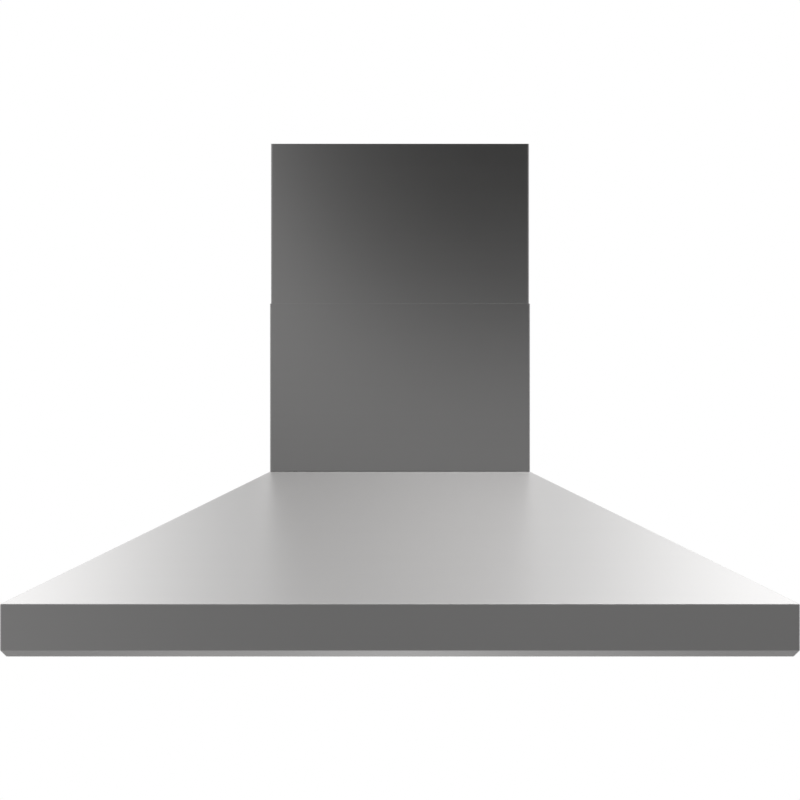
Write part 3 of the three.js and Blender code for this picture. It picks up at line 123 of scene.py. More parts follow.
class HoodSizes(bpy.types.PropertyGroup):
    """Sizes of the sheet, its bends and the small fittings."""

    lip_height: length("Lip height", "Rise and run of the 45 degree lip under the apron", 0.007)
    lip_return: length("Lip return", "Level strip turned in from the lip", 0.013)
    apron_height: length("Apron height", "Upright band above the lip", 0.053)
    rear_flange: length("Rear flange", "Flange along the wall round the canopy's back", 0.016)
    window_margin: length("Window margin", "Sheet round the opening in the canopy's top", 0.0146)
    canopy_sheet: length("Canopy sheet", "Thickness of the canopy's sheet", 0.0012)
    cover_sheet: length("Cover sheet", "Thickness of the chimney covers' sheet", 0.0008)
    cover_return: length("Cover return", "Strip turned in at each cover's back", 0.014)
    bend_radius: length("Bend radius", "Outside radius of each fold in the sheet", 0.0018)
    edge_softness: length("Edge softness", "Rounding of cut and moulded edges", 0.0003)
    handle_wire: length("Handle wire", "Diameter of the filter handles' wire", 0.004)
    screw_size: length("Screw size", "Diameter of a pan head screw's head", 0.0068)
    blade_count: IntProperty(
        name="Blades", description="Forward-curved blades on the wheel", default=24, min=3, max=60
    )


class HoodFinishes(bpy.types.PropertyGroup):
    """Colours of the materials, and how far they are worn."""

    steel: colour("Brushed steel", "Colour of the brushed skins", (0.628, 0.622, 0.619))
    galvanised: colour("Galvanised sheet", "Colour of the zinc-coated sheet", (0.44, 0.455, 0.468))
    bright: colour("Bright steel", "Colour of the polished fittings", (0.74, 0.745, 0.75))
    aluminium: colour("Cast aluminium", "Colour of the castings and cans", (0.6, 0.605, 0.61))
    black: colour("Black plastic", "Colour of the black mouldings", (0.022, 0.022, 0.024))
    grey: colour("Grey plastic", "Colour of the blower's mouldings", (0.16, 0.17, 0.175))
    rubber: colour("Rubber", "Colour of the bushes, gasket and grommet", (0.015, 0.015, 0.016))
    cable: colour("Cable sheath", "Colour of the internal leads", (0.035, 0.035, 0.038))
    lens: colour("Frosted lens", "Colour of the lamp lenses", (0.9, 0.92, 0.9))
    board: colour("Circuit board", "Colour of the board's lacquer", (0.03, 0.13, 0.055))
    edge_wear: share("Edge wear", "How far the edges are rubbed bright or pale", 0.35)
    dust: share("Dust", "How much dust lies on level faces", 0.25)


class Studio(bpy.types.PropertyGroup):
    """The camera, the lamps and the floor."""

    lens: FloatProperty(
        name="Lens", description="Focal length in millimetres", default=1200.0, min=50.0, max=1700.0
    )
    eye_height: length("Eye height", "Height of the camera's axis above the origin", 0.1878)
    floor_drop: length("Floor drop", "Distance from the hood's lower edge to the floor", 0.5)
    ambient: share("Ambient light", "Strength of the world, apart from the background", 0.5)
    key_level: radiance("Key level", "Radiance of the large lamp before the front", 2.2)
    fill_level: radiance("Fill level", "Radiance of the lamp at the right", 1.3)


def sizes():
    return bpy.context.scene.hood_sizes


def finishes():
    return bpy.context.scene.hood_finishes


# ---- Nodes of every kind ----

NODE_SPACING = 200


def add(tree, kind, inputs=None, **settings):
    """Adds a node. An input is a value, or the output socket that feeds it."""
    node = tree.nodes.new(kind)
    node.location = (NODE_SPACING * len(tree.nodes), 0)
    for key, value in settings.items():
        setattr(node, key, value)
    for key, value in (inputs or {}).items():
        socket = node.inputs[key]
        if isinstance(value, bpy.types.NodeSocket):
            tree.links.new(value, socket)
        else:
            socket.default_value = value
    return node


def math_node(tree, operation, *values):
    return add(tree, "ShaderNodeMath", dict(enumerate(values)), operation=operation).outputs[0]


def started_group(name, kind, inputs, outputs):
    """A node group with named sockets, and the sockets that feed its inside."""
    tree = bpy.data.node_groups.new(name, kind)
    for direction, sockets in (("INPUT", inputs), ("OUTPUT", outputs)):
        for label, value in sockets.items():
            tree.interface.new_socket(label, in_out=direction, socket_type=f"NodeSocket{value}")
    return tree, add(tree, "NodeGroupInput").outputs


def close_group(tree, **outputs):
    add(tree, "NodeGroupOutput", outputs)
    return tree


def shared_group(name, build):
    """A node group, which is built when it is first asked for."""
    return bpy.data.node_groups.get(name) or build(name)


# ---- Shader nodes ----

# The Mix node has sockets of one name for each kind of value, so those for colours go by number.
MIX_FACTOR, MIX_FIRST, MIX_SECOND, MIX_RESULT = 0, 6, 7, 2
ZERO_TO_ONE = (0.0, 1.0)


def vector_node(tree, operation, *values):
    node = add(tree, "ShaderNodeVectorMath", dict(enumerate(values)), operation=operation)
    return node.outputs["Value" if operation in ("DOT_PRODUCT", "DISTANCE") else "Vector"]


def coordinate(tree, vector, axis):
    return add(tree, "ShaderNodeSeparateXYZ", {0: vector}).outputs[axis]


def surface_normal(tree):
    return add(tree, "ShaderNodeNewGeometry").outputs["Normal"]


def product(tree, first, *others):
    for other in others:
        first = math_node(tree, "MULTIPLY", first, other)
    return first


def noise(tree, vector, scale, detail=2.0, roughness=0.5):
    inputs = {"Vector": vector, "Scale": scale, "Detail": detail, "Roughness": roughness}
    return add(tree, "ShaderNodeTexNoise", inputs).outputs["Fac"]


def mixed_colour(tree, factor, first, second):
    inputs = {MIX_FACTOR: factor, MIX_FIRST: first, MIX_SECOND: second}
    return add(tree, "ShaderNodeMix", inputs, data_type="RGBA").outputs[MIX_RESULT]


def ranged(tree, value, source, target=ZERO_TO_ONE):
    """Maps a value from one range to another, and stops it at both ends."""
    inputs = {
        "Value": value,
        "From Min": source[0],
        "From Max": source[1],
        "To Min": target[0],
        "To Max": target[1],
    }
    return add(tree, "ShaderNodeMapRange", inputs).outputs["Result"]


def shader_group(name, numbers, outputs):
    """A group that takes a place and some numbers, and puts out numbers."""
    inputs = {"Vector": "Vector", **dict.fromkeys(numbers, "Float")}
    return started_group(name, "ShaderNodeTree", inputs, dict.fromkeys(outputs, "Float"))


def use_group(tree, name, build, **inputs):
    """Places a shared group in a material, with values of its own."""
    group = shared_group(name, build)
    return add(tree, "ShaderNodeGroup", inputs, node_tree=group).outputs


# ---- Effects that several materials share ----

# Scales are those of noise on places in metres. A pair is the range that becomes 0 to 1.
LEVEL_FACE = 0.9
BROAD_LINES = 0.07
SMUDGE_SCALE = 7.0
WEAR_SAMPLES = 4
WEAR_TURN = (0.02, 0.2)
WEAR_SCALE = 90.0
WEAR_BREAKS = (0.35, 0.65)
DUST_LEVEL = (0.93, 1.0)
DUST_SCALE = 26.0
DUST_PATCHES = (0.3, 0.75)
CLOUD_SCALE = 18.0
NOISE_AVERAGE = 0.5
FIGURED = 3.0
PATCHED = 5.0


def brushed_grain(name):
    """Fine lines that run along X and Y on upright faces, and along X on level ones."""
    tree, given = shader_group(
        name,
        ("Lines", "Length", "Shade", "Roughness", "Spread"),
        ("Tone", "Roughness", "Height"),
    )
    upward = coordinate(tree, surface_normal(tree), "Z")
    level = math_node(tree, "GREATER_THAN", math_node(tree, "ABSOLUTE", upward), LEVEL_FACE)
    along, across = given["Length"], given["Lines"]
    upright_lines = add(tree, "ShaderNodeCombineXYZ", {"X": along, "Y": along, "Z": across})
    level_lines = add(tree, "ShaderNodeCombineXYZ", {"X": along, "Y": across, "Z": along})
    stretch = mixed_colour(tree, level, upright_lines.outputs[0], level_lines.outputs[0])
    stretched = vector_node(tree, "MULTIPLY", given["Vector"], stretch)
    fine = noise(tree, stretched, 1.0, FIGURED, roughness=0.65)
    broad = noise(tree, stretched, BROAD_LINES)
    smudge = noise(tree, given["Vector"], SMUDGE_SCALE, FIGURED)

    def centred_sum(first, second):
        both = math_node(tree, "ADD", first, second)
        return math_node(tree, "SUBTRACT", both, 2 * NOISE_AVERAGE)

    tone = math_node(tree, "MULTIPLY_ADD", centred_sum(fine, broad), given["Shade"], 1.0)
    uneven = centred_sum(broad, smudge)
    rough = math_node(tree, "MULTIPLY_ADD", uneven, given["Spread"], given["Roughness"])
    return close_group(tree, Tone=tone, Roughness=rough, Height=fine)


def edge_wear(name):
    """A mask of the edges that hands and cloths rub, broken up by noise."""
    tree, given = shader_group(name, ("Radius", "Amount"), ("Mask",))
    bevel = add(tree, "ShaderNodeBevel", {"Radius": given["Radius"]}, samples=WEAR_SAMPLES)
    agreement = vector_node(tree, "DOT_PRODUCT", bevel.outputs["Normal"], surface_normal(tree))
    edge = ranged(tree, math_node(tree, "SUBTRACT", 1.0, agreement), WEAR_TURN)
    broken = ranged(tree, noise(tree, given["Vector"], WEAR_SCALE, FIGURED), WEAR_BREAKS)
    return close_group(tree, Mask=product(tree, edge, broken, given["Amount"]))


def settled_dust(name):
    """A mask of the dust that lies on faces turned up."""
    tree, given = shader_group(name, ("Amount",), ("Mask",))
    level = ranged(tree, coordinate(tree, surface_normal(tree), "Z"), DUST_LEVEL)
    patchy = ranged(tree, noise(tree, given["Vector"], DUST_SCALE, PATCHED), DUST_PATCHES)
    return close_group(tree, Mask=product(tree, level, patchy, given["Amount"]))


def moulded_texture(name):
    """The fine spark texture of a moulded or cast surface."""
    tree, given = shader_group(
        name, ("Fineness", "Roughness", "Spread"), ("Roughness", "Height", "Tone")
    )
    pitted = noise(tree, given["Vector"], given["Fineness"])
    cloudy = noise(tree, given["Vector"], CLOUD_SCALE, FIGURED)
    uneven = math_node(tree, "SUBTRACT", cloudy, NOISE_AVERAGE)
    rough = math_node(tree, "MULTIPLY_ADD", uneven, given["Spread"], given["Roughness"])
    tone = math_node(tree, "MULTIPLY_ADD", uneven, given["Spread"], 1.0)
    return close_group(tree, Roughness=rough, Height=pitted, Tone=tone)


# ---- Materials, one for each slot of the record ----

WEAR_RADIUS = 0.0006
DUST_RGB = (0.42, 0.4, 0.37)
WORN_STEEL = 1.2
WORN_ZINC = (0.6, 0.62, 0.64)
BRUSH_TILT = (0.0, 0.02, 1.0)
CRYSTAL_SCALE = 95.0
CRYSTAL_WOBBLE = 0.012
WOBBLE_SCALE = 60.0
FROST_SCALE = 1800.0
TRACK_RGB = (0.06, 0.22, 0.09)
TRACK_SCALE = 90.0
TRACK_WIDTH = 0.06
BLOTCH_SCALE = 40.0
MIDDLE_NOISE = (0.2, 0.8)


def with_alpha(rgb, factor=1.0):
    return (*(min(1.0, channel * factor) for channel in rgb), 1.0)


def started_material(name):
    """A material with its Principled shader and the object's own coordinates."""
    material = bpy.data.materials.new(name)
    material.use_nodes = True
    tree = material.node_tree
    place = add(tree, "ShaderNodeTexCoord").outputs["Object"]
    return material, tree, tree.nodes["Principled BSDF"], place


def toned(tree, rgb, tone):
    """A colour that is lighter and darker with a tone near 1."""
    node = add(tree, "ShaderNodeVectorMath", {0: tuple(rgb), "Scale": tone}, operation="SCALE")
    return node.outputs["Vector"]


def raised(tree, height, shader, distance, strength=0.3):
    inputs = {"Height": height, "Distance": distance, "Strength": strength}
    bump = add(tree, "ShaderNodeBump", inputs)
    tree.links.new(bump.outputs["Normal"], shader.inputs["Normal"])


def lay_finish(tree, shader, place, base, worn_rgb, rough, dulling, metal=True):
    """Feeds a shader its colour with rubbed edges and dust, which is rough and isn't metal."""
    chosen = finishes()
    worn = use_group(
        tree, "Edge Wear", edge_wear, Vector=place, Radius=WEAR_RADIUS, Amount=chosen.edge_wear
    )
    settled = use_group(tree, "Settled Dust", settled_dust, Vector=place, Amount=chosen.dust)
    dust = settled["Mask"]
    rubbed = mixed_colour(tree, worn["Mask"], base, with_alpha(worn_rgb))
    dusty = mixed_colour(tree, dust, rubbed, with_alpha(DUST_RGB))
    dulled = math_node(tree, "MULTIPLY_ADD", dust, dulling, rough)
    tree.links.new(dusty, shader.inputs["Base Color"])
    tree.links.new(dulled, shader.inputs["Roughness"])
    if metal:
        tree.links.new(math_node(tree, "SUBTRACT", 1.0, dust), shader.inputs["Metallic"])


def brushed_steel(name):
    """Stainless sheet brushed lengthwise, so highlights stretch up and down."""
    material, tree, shader, place = started_material(name)
    rgb = finishes().steel
    grain = use_group(
        tree,
        "Brushed Grain",
        brushed_grain,
        Vector=place,
        Lines=2600.0,
        Length=6.0,
        Shade=0.02,
        Roughness=0.29,
        Spread=0.02,
    )
    base = toned(tree, rgb, grain["Tone"])
    worn_rgb = [channel * WORN_STEEL for channel in rgb]
    lay_finish(tree, shader, place, base, worn_rgb, grain["Roughness"], dulling=0.3)
    lengthwise = vector_node(tree, "CROSS_PRODUCT", surface_normal(tree), BRUSH_TILT)
    tree.links.new(lengthwise, shader.inputs["Tangent"])
    shader.inputs["Anisotropic"].default_value = 0.6
    shader.inputs["Anisotropic Rotation"].default_value = 0.25
    raised(tree, grain["Height"], shader, distance=0.000004, strength=0.05)
    return material


def galvanised_sheet(name):
    """Zinc-coated sheet with the crystals of its coating."""
    material, tree, shader, place = started_material(name)
    wobble = add(tree, "ShaderNodeTexNoise", {"Vector": place, "Scale": WOBBLE_SCALE})
    reach = (CRYSTAL_WOBBLE,) * 3
    bent = vector_node(tree, "MULTIPLY_ADD", wobble.outputs["Color"], reach, place)
    spangle = add(tree, "ShaderNodeTexVoronoi", {"Vector": bent, "Scale": CRYSTAL_SCALE})
    crystal = add(tree, "ShaderNodeSeparateColor", {0: spangle.outputs["Color"]}).outputs[0]
    base = toned(tree, finishes().galvanised, ranged(tree, crystal, ZERO_TO_ONE, (0.8, 1.12)))
    rough = ranged(tree, crystal, ZERO_TO_ONE, (0.34, 0.52))
    lay_finish(tree, shader, place, base, WORN_ZINC, rough, dulling=0.4)
    raised(tree, crystal, shader, distance=0.00003)
    return material


def textured(
    name,
    rgb,
    worn_rgb,
    fineness,
    roughness,
    depth,
    spread=0.2,
    dulling=0.3,
    strength=0.3,
    metal=False,
):
    """A moulded, cast or polished surface with the fine texture of its making."""
    material, tree, shader, place = started_material(name)
    texture = use_group(
        tree,
        "Moulded Texture",
        moulded_texture,
        Vector=place,
        Fineness=fineness,
        Roughness=roughness,
        Spread=spread,
    )
    base = toned(tree, rgb, texture["Tone"])
    lay_finish(tree, shader, place, base, worn_rgb, texture["Roughness"], dulling, metal)
    raised(tree, texture["Height"], shader, depth, strength)
    return material


def bright_steel(name):
    """Polished wire, turned caps and springs, with faint wiping marks."""
    return textured(
        name,
        finishes().bright,
        worn_rgb=(0.85, 0.85, 0.86),
        fineness=900.0,
        roughness=0.17,
        depth=0.000005,
        spread=0.12,
        dulling=0.4,
        strength=0.2,
        metal=True,
    )


def cast_aluminium(name):
    """Bead-blasted castings and drawn cans."""
    return textured(
        name,
        finishes().aluminium,
        worn_rgb=(0.78, 0.78, 0.79),
        fineness=1400.0,
        roughness=0.46,
        depth=0.00004,
        spread=0.16,
        dulling=0.0,
        metal=True,
    )


def black_plastic(name):
    return textured(
        name,
        finishes().black,
        worn_rgb=(0.07, 0.07, 0.075),
        fineness=1500.0,
        roughness=0.48,
        depth=0.00004,
    )


def grey_plastic(name):
    return textured(
        name,
        finishes().grey,
        worn_rgb=(0.3, 0.31, 0.32),
        fineness=1200.0,
        roughness=0.42,
        depth=0.00003,
    )


def black_rubber(name):
    return textured(
        name,
        finishes().rubber,
        worn_rgb=(0.05, 0.05, 0.05),
        fineness=2600.0,
        roughness=0.78,
        depth=0.00003,
    )


def cable_sheath(name):
    return textured(
        name,
        finishes().cable,
        worn_rgb=(0.09, 0.09, 0.095),
        fineness=3200.0,
        roughness=0.52,
        depth=0.00001,
    )


def frosted_glass(name):
    """A lens etched on its inner face, so it glows white and hides the lamp."""
    material, tree, shader, place = started_material(name)
    frost = noise(tree, place, FROST_SCALE)
    base = toned(tree, finishes().lens, ranged(tree, frost, ZERO_TO_ONE, (0.95, 1.04)))
    tree.links.new(base, shader.inputs["Base Color"])
    tree.links.new(ranged(tree, frost, MIDDLE_NOISE, (0.28, 0.45)), shader.inputs["Roughness"])
    shader.inputs["Transmission Weight"].default_value = 0.35
    shader.inputs["IOR"].default_value = 1.49
    raised(tree, frost, shader, distance=0.00002)
    return material


def circuit_board(name):
    """Green lacquer over copper tracks."""
    material, tree, shader, place = started_material(name)
    rgb = finishes().board
    tracks = add(
        tree,
        "ShaderNodeTexBrick",
        {
            "Vector": place,
            "Color1": with_alpha(rgb),
            "Color2": with_alpha(rgb, 0.8),
            "Mortar": with_alpha(TRACK_RGB),
            "Scale": TRACK_SCALE,
            "Mortar Size": TRACK_WIDTH,
        },
    )
    tree.links.new(tracks.outputs["Color"], shader.inputs["Base Color"])
    blotch = noise(tree, place, BLOTCH_SCALE, FIGURED)
    tree.links.new(ranged(tree, blotch, MIDDLE_NOISE, (0.3, 0.5)), shader.inputs["Roughness"])
    raised(tree, tracks.outputs["Fac"], shader, distance=0.00003)
    return material


MATERIALS = {
    "brushed_steel_skin": ("Brushed Steel", brushed_steel),
    "galvanised_sheet": ("Galvanised Sheet", galvanised_sheet),
    "bright_steel": ("Bright Steel", bright_steel),
    "cast_aluminium": ("Cast Aluminium", cast_aluminium),
    "black_plastic": ("Black Plastic", black_plastic),
    "grey_plastic": ("Grey Plastic", grey_plastic),
    "black_rubber": ("Black Rubber", black_rubber),
    "cable_sheath": ("Cable Sheath", cable_sheath),
    "frosted_glass": ("Frosted Glass", frosted_glass),
    "circuit_board": ("Circuit Board", circuit_board),
}


def material_for(slot):
    """A slot's material, which is built when it is first asked for."""
    name, build = MATERIALS[slot]
    return bpy.data.materials.get(name) or build(name)


# ---- Forms and pieces ----

MERGE_DISTANCE = 1e-6
FLAT_ANGLE = math.radians(0.5)
EDGE_ANGLE = 30.0
TURNED_ANGLE = 25.0
ROUND_SEGMENTS = 64
FINE_SEGMENTS = 96
BEND_SEGMENTS = 4
BEND_STEPS = 8
CORNER_STEPS = 6
WIRE_RESOLUTION = 6
PLATE_RESOLUTION = 2
FLAT_WEIGHT = 100
HOLE_GAP = 0.0003
CUT_EDGE_SHARE = 0.12
CUT_EDGE_ANGLE = 60.0


def mesh_of(form, name):
    mesh = bpy.data.meshes.new(name)
    form.to_mesh(mesh)
    form.free()
    for polygon in mesh.polygons:
        polygon.use_smooth = True
    return mesh


def add_piece(name, form, body, slot, *replaced):
    """Puts a finished form in the scene as a piece that rides on a body of the frame."""
    mesh = mesh_of(form, name)
    piece = bpy.data.objects.new(name, mesh)
    bpy.context.scene.collection.objects.link(piece)
    mesh.materials.clear()
    mesh.materials.append(material_for(slot))
    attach(piece, body)
    if replaced:
        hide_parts(*replaced)
    return piece


def dress(node, form):
    """Puts a form in the place of a CAD node, with the node's body and finish."""
    return add_piece(f"{node}_finished", form, BODY_OF[node], SLOT_OF[node], node)


def keep_flats(piece, weight=FLAT_WEIGHT):
    """Keeps the shading of flat faces flat, up to their rounded edges."""
    flats = piece.modifiers.new("Flat faces", "WEIGHTED_NORMAL")
    flats.mode = "FACE_AREA"
    flats.weight = weight
    return piece


def soften(piece, width=None, angle=EDGE_ANGLE, segments=2):
    """Rounds the edges that turn by more than an angle."""
    bevel = piece.modifiers.new("Soft edges", "BEVEL")
    bevel.limit_method = "ANGLE"
    bevel.angle_limit = math.radians(angle)
    bevel.width = width or sizes().edge_softness
    bevel.segments = segments
    bevel.use_clamp_overlap = True
    return keep_flats(piece)


def thicken(piece, sheet, offset=-1.0, even=False):
    """Gives a thin form its thickness: inwards, or to both sides with no offset."""
    thickness = piece.modifiers.new("Sheet", "SOLIDIFY")
    thickness.thickness = sheet
    thickness.offset = offset
    thickness.use_even_offset = even
    return piece


def finished_copy(node, width=None, angle=EDGE_ANGLE):
    """A copy of a CAD node with its triangles joined into whole faces and its edges softened."""
    form = bmesh.new()
    form.from_mesh(frame["nodes"][node].data)
    bmesh.ops.remove_doubles(form, verts=form.verts, dist=MERGE_DISTANCE)
    bmesh.ops.dissolve_limit(form, angle_limit=FLAT_ANGLE, verts=form.verts, edges=form.edges)
    return soften(dress(node, form), width, angle)


def strip_faces(count):
    """Faces between two runs of points, where the second run follows the first in the list."""
    return [(i, i + 1, i + 1 + count, i + count) for i in range(count - 1)]


def sheet_form(points, faces):
    """A thin form whose folds weigh the share of the bend radius that their angle takes up."""
    form = bmesh.new()
    verts = [form.verts.new(point) for point in points]
    for face in faces:
        form.faces.new([verts[i] for i in face])
    layer = form.edges.layers.float.new("bevel_weight_edge")
    form.normal_update()
    for edge in form.edges:
        angle = edge.calc_face_angle(0.0)
        if angle > FLAT_ANGLE:
            edge[layer] = min(1.0, math.tan(angle / 2))
    return form


def fold(piece, sheet):
    """Gives a thin form its bends, its thickness inwards and soft cut edges."""
    bends = piece.modifiers.new("Bends", "BEVEL")
    bends.limit_method = "WEIGHT"
    bends.width = sizes().bend_radius
    bends.segments = BEND_SEGMENTS
    thicken(piece, sheet, even=True)
    return soften(piece, sheet * CUT_EDGE_SHARE, CUT_EDGE_ANGLE)


def middle(node):
    low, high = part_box(node)
    return (low + high) / 2


def radius_of(node, across="z"):
    """The radius of a round CAD node, measured across its axis."""
    low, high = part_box(node)
    return (getattr(high, across) - getattr(low, across)) / 2


def point_round(axis, centre, radius, angle, along):
    across = (radius * math.cos(angle), radius * math.sin(angle))
    if axis == "X":
        return (along, centre.y + across[0], centre.z + across[1])
    if axis == "Y":
        return (centre.x + across[0], along, centre.z + across[1])
    return (centre.x + across[0], centre.y + across[1], along)


def turned(profile, centre, axis="Z", segments=ROUND_SEGMENTS, closed=False):
    """Turns an outline of (radius, place along the axis) about an axis through the centre."""
    form = bmesh.new()
    rings = []
    for radius, along in profile:
        count = 1 if radius < MERGE_DISTANCE else segments
        angles = [2 * math.pi * i / count for i in range(count)]
        rings.append([form.verts.new(point_round(axis, centre, radius, a, along)) for a in angles])
    pairs = list(zip(rings, rings[1:]))
    if closed:
        pairs.append((rings[-1], rings[0]))
    for lower, upper in pairs:
        for i in range(segments):
            j = (i + 1) % segments
            corners = [lower[i % len(lower)], lower[j % len(lower)]]
            corners += [upper[j % len(upper)], upper[i % len(upper)]]
            unique = list(dict.fromkeys(corners))
            if len(unique) > 2:
                form.faces.new(unique)
    bmesh.ops.recalc_face_normals(form, faces=form.faces)
    return form


def turned_piece(
    node,
    profile,
    axis="Z",
    about=None,
    segments=ROUND_SEGMENTS,
    closed=False,
    width=None,
    angle=TURNED_ANGLE,
    rounding=2,
):
    """Turns a piece in the place of a CAD node, about its own middle or another node's."""
    form = turned(profile, middle(about or node), axis, segments, closed)
    return soften(dress(node, form), width, angle, rounding)


def turned_rod(node, segments=ROUND_SEGMENTS, width=None):
    """A plain round rod that lies along X."""
    low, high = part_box(node)
    radius = radius_of(node)
    profile = [(0.0, low.x), (radius, low.x), (radius, high.x), (0.0, high.x)]
    return turned_piece(node, profile, "X", segments=segments, width=width, angle=EDGE_ANGLE)


def rounded_corner(before, corner, after, radius):
    """Points along a bend that replaces the corner between two straight runs."""
    start = corner + (before - corner).normalized() * radius
    end = corner + (after - corner).normalized() * radius
    shares = [i / BEND_STEPS for i in range(BEND_STEPS + 1)]
    return [start * (1 - t) ** 2 + corner * 2 * t * (1 - t) + end * t**2 for t in shares]


def started_curve(name, dimensions, depth, resolution):
    curve = bpy.data.curves.new(name, "CURVE")
    curve.dimensions = dimensions
    curve.bevel_depth = depth
    curve.bevel_resolution = resolution
    return curve


def add_run(curve, places, closed=False):
    """Adds a run of straight stretches through (x, y, z) places to a curve."""
    spline = curve.splines.new("POLY")
    spline.points.add(len(places) - 1)
    spline.use_cyclic_u = closed
    for point, place in zip(spline.points, places):
        point.co = (*place, 1.0)


def evaluated_form(holder):
    """What an object's modifiers or curve make, as a form. The object is removed."""
    graph = bpy.context.evaluated_depsgraph_get()
    mesh = bpy.data.meshes.new_from_object(holder.evaluated_get(graph), depsgraph=graph)
    bpy.data.objects.remove(holder)
    form = bmesh.new()
    form.from_mesh(mesh)
    return form


def form_from_curve(curve):
    """A curve's tube or plate as a closed form."""
    holder = bpy.data.objects.new("holder", curve)
    bpy.context.scene.collection.objects.link(holder)
    form = evaluated_form(holder)
    bmesh.ops.remove_doubles(form, verts=form.verts, dist=MERGE_DISTANCE)
    bmesh.ops.recalc_face_normals(form, faces=form.faces)
    return form


def bent_wire(corners, diameter, bend):
    """A round wire through straight runs with a bend at each inner corner."""
    path = [corners[0]]
    for before, corner, after in zip(corners, corners[1:], corners[2:]):
        path += rounded_corner(before, corner, after, bend)
    path.append(corners[-1])
    curve = started_curve("wire", "3D", diameter / 2, WIRE_RESOLUTION)
    curve.use_fill_caps = True
    add_run(curve, path)
    return form_from_curve(curve)


def flat_plate(outline, holes, low, high, softness):
    """A plate with round holes, from a filled outline, between two heights."""
    curve = started_curve("plate", "2D", softness, PLATE_RESOLUTION)
    curve.fill_mode = "BOTH"
    curve.extrude = (high - low) / 2 - softness
    curve.offset = -softness
    for ring in (outline, *holes):
        add_run(curve, [(x, y, 0.0) for x, y in ring], closed=True)
    form = form_from_curve(curve)
    bmesh.ops.translate(form, verts=form.verts, vec=(0.0, 0.0, (low + high) / 2))
    return form


def round_outline(x, y, radius):
    angles = [2 * math.pi * i / ROUND_SEGMENTS for i in range(ROUND_SEGMENTS)]
    return [(x + radius * math.cos(a), y + radius * math.sin(a)) for a in angles]


def rounded_rectangle(low, high, radius):
    """The outline of a box seen from above, with its corners rounded."""
    corners = [(high.x, high.y, 0), (low.x, high.y, 1), (low.x, low.y, 2), (high.x, low.y, 3)]
    outline = []
    for x, y, quarter in corners:
        centre_x = x - math.copysign(radius, x - (low.x + high.x) / 2)
        centre_y = y - math.copysign(radius, y - (low.y + high.y) / 2)
        for i in range(CORNER_STEPS + 1):
            angle = math.pi / 2 * (quarter + i / CORNER_STEPS)
            across = (radius * math.cos(angle), radius * math.sin(angle))
            outline.append((centre_x + across[0], centre_y + across[1]))
    return outline


# ---- Geometry nodes for what repeats ----


def geometry_tree(name, inputs):
    """A geometry tree with named inputs, and the sockets that feed its inside."""
    return started_group(
        name, "GeometryNodeTree", {"Geometry": "Geometry", **inputs}, {"Geometry": "Geometry"}
    )


def close_tree(tree, given, **placed):
    """Puts an instance on each point, realizes them all and gives them their material."""
    copies = add(tree, "GeometryNodeInstanceOnPoints", placed)
    real = add(tree, "GeometryNodeRealizeInstances", {"Geometry": copies.outputs[0]})
    finish = {"Geometry": real.outputs[0], "Material": given["Material"]}
    coated = add(tree, "GeometryNodeSetMaterial", finish)
    return close_group(tree, Geometry=coated.outputs[0])


def row_tree(name):
    """Repeats a piece along a straight row."""
    tree, given = geometry_tree(name, {"Count": "Int", "Step": "Vector", "Material": "Material"})
    line = add(tree, "GeometryNodeMeshLine", {"Count": given["Count"], "Offset": given["Step"]})
    return close_tree(tree, given, Points=line.outputs[0], Instance=given["Geometry"])


def ring_tree(name):
    """Repeats a piece round a shaft that runs along X, and puts the ring in its place."""
    tree, given = geometry_tree(name, {"Count": "Int", "Centre": "Vector", "Material": "Material"})
    points = add(tree, "GeometryNodePoints", {"Count": given["Count"], "Position": given["Centre"]})
    index = add(tree, "GeometryNodeInputIndex").outputs[0]
    turn = math_node(tree, "DIVIDE", 2 * math.pi, given["Count"])
    angle = math_node(tree, "MULTIPLY", index, turn)
    rotation = add(tree, "ShaderNodeCombineXYZ", {"X": angle}).outputs[0]
    return close_tree(
        tree, given, Points=points.outputs[0], Instance=given["Geometry"], Rotation=rotation
    )


def fastener_tree(name):
    """Puts a screw on each point, facing as the point does, with its recess turned at random."""
    tree, given = geometry_tree(
        name, {"Screw": "Object", "Size": "Float", "Seed": "Int", "Material": "Material"}
    )
    screw = add(tree, "GeometryNodeObjectInfo", {"Object": given["Screw"]})
    facing = add(
        tree, "GeometryNodeInputNamedAttribute", {"Name": "facing"}, data_type="FLOAT_VECTOR"
    )
    aimed = add(tree, "FunctionNodeAlignRotationToVector", {"Vector": facing.outputs[0]}, axis="Z")
    spin = add(
        tree, "FunctionNodeRandomValue", {"Min": 0.0, "Max": 2 * math.pi, "Seed": given["Seed"]}
    )
    angle = next(output for output in spin.outputs if output.enabled)
    twist = add(tree, "ShaderNodeCombineXYZ", {"Z": angle})
    rotated = add(
        tree,
        "FunctionNodeRotateRotation",
        {"Rotation": aimed.outputs[0], "Rotate By": twist.outputs[0]},
        rotation_space="LOCAL",
    )
    return close_tree(
        tree,
        given,
        Points=given["Geometry"],
        Instance=screw.outputs["Geometry"],
        Rotation=rotated.outputs[0],
        Scale=given["Size"],
    )


def grown(form, tree_name, build, slot, **inputs):
    """Runs a geometry tree on a form and returns the result as a form of its own."""
    holder = bpy.data.objects.new("holder", mesh_of(form, "holder"))
    bpy.context.scene.collection.objects.link(holder)
    modifier = holder.modifiers.new("Grow", "NODES")
    modifier.node_group = shared_group(tree_name, build)
    inputs["Material"] = material_for(slot)
    for item in modifier.node_group.interface.items_tree:
        if item.item_type == "SOCKET" and item.in_out == "INPUT" and item.name in inputs:
            modifier[item.identifier] = inputs[item.name]
    return evaluated_form(holder)


# ---- Canopy ----


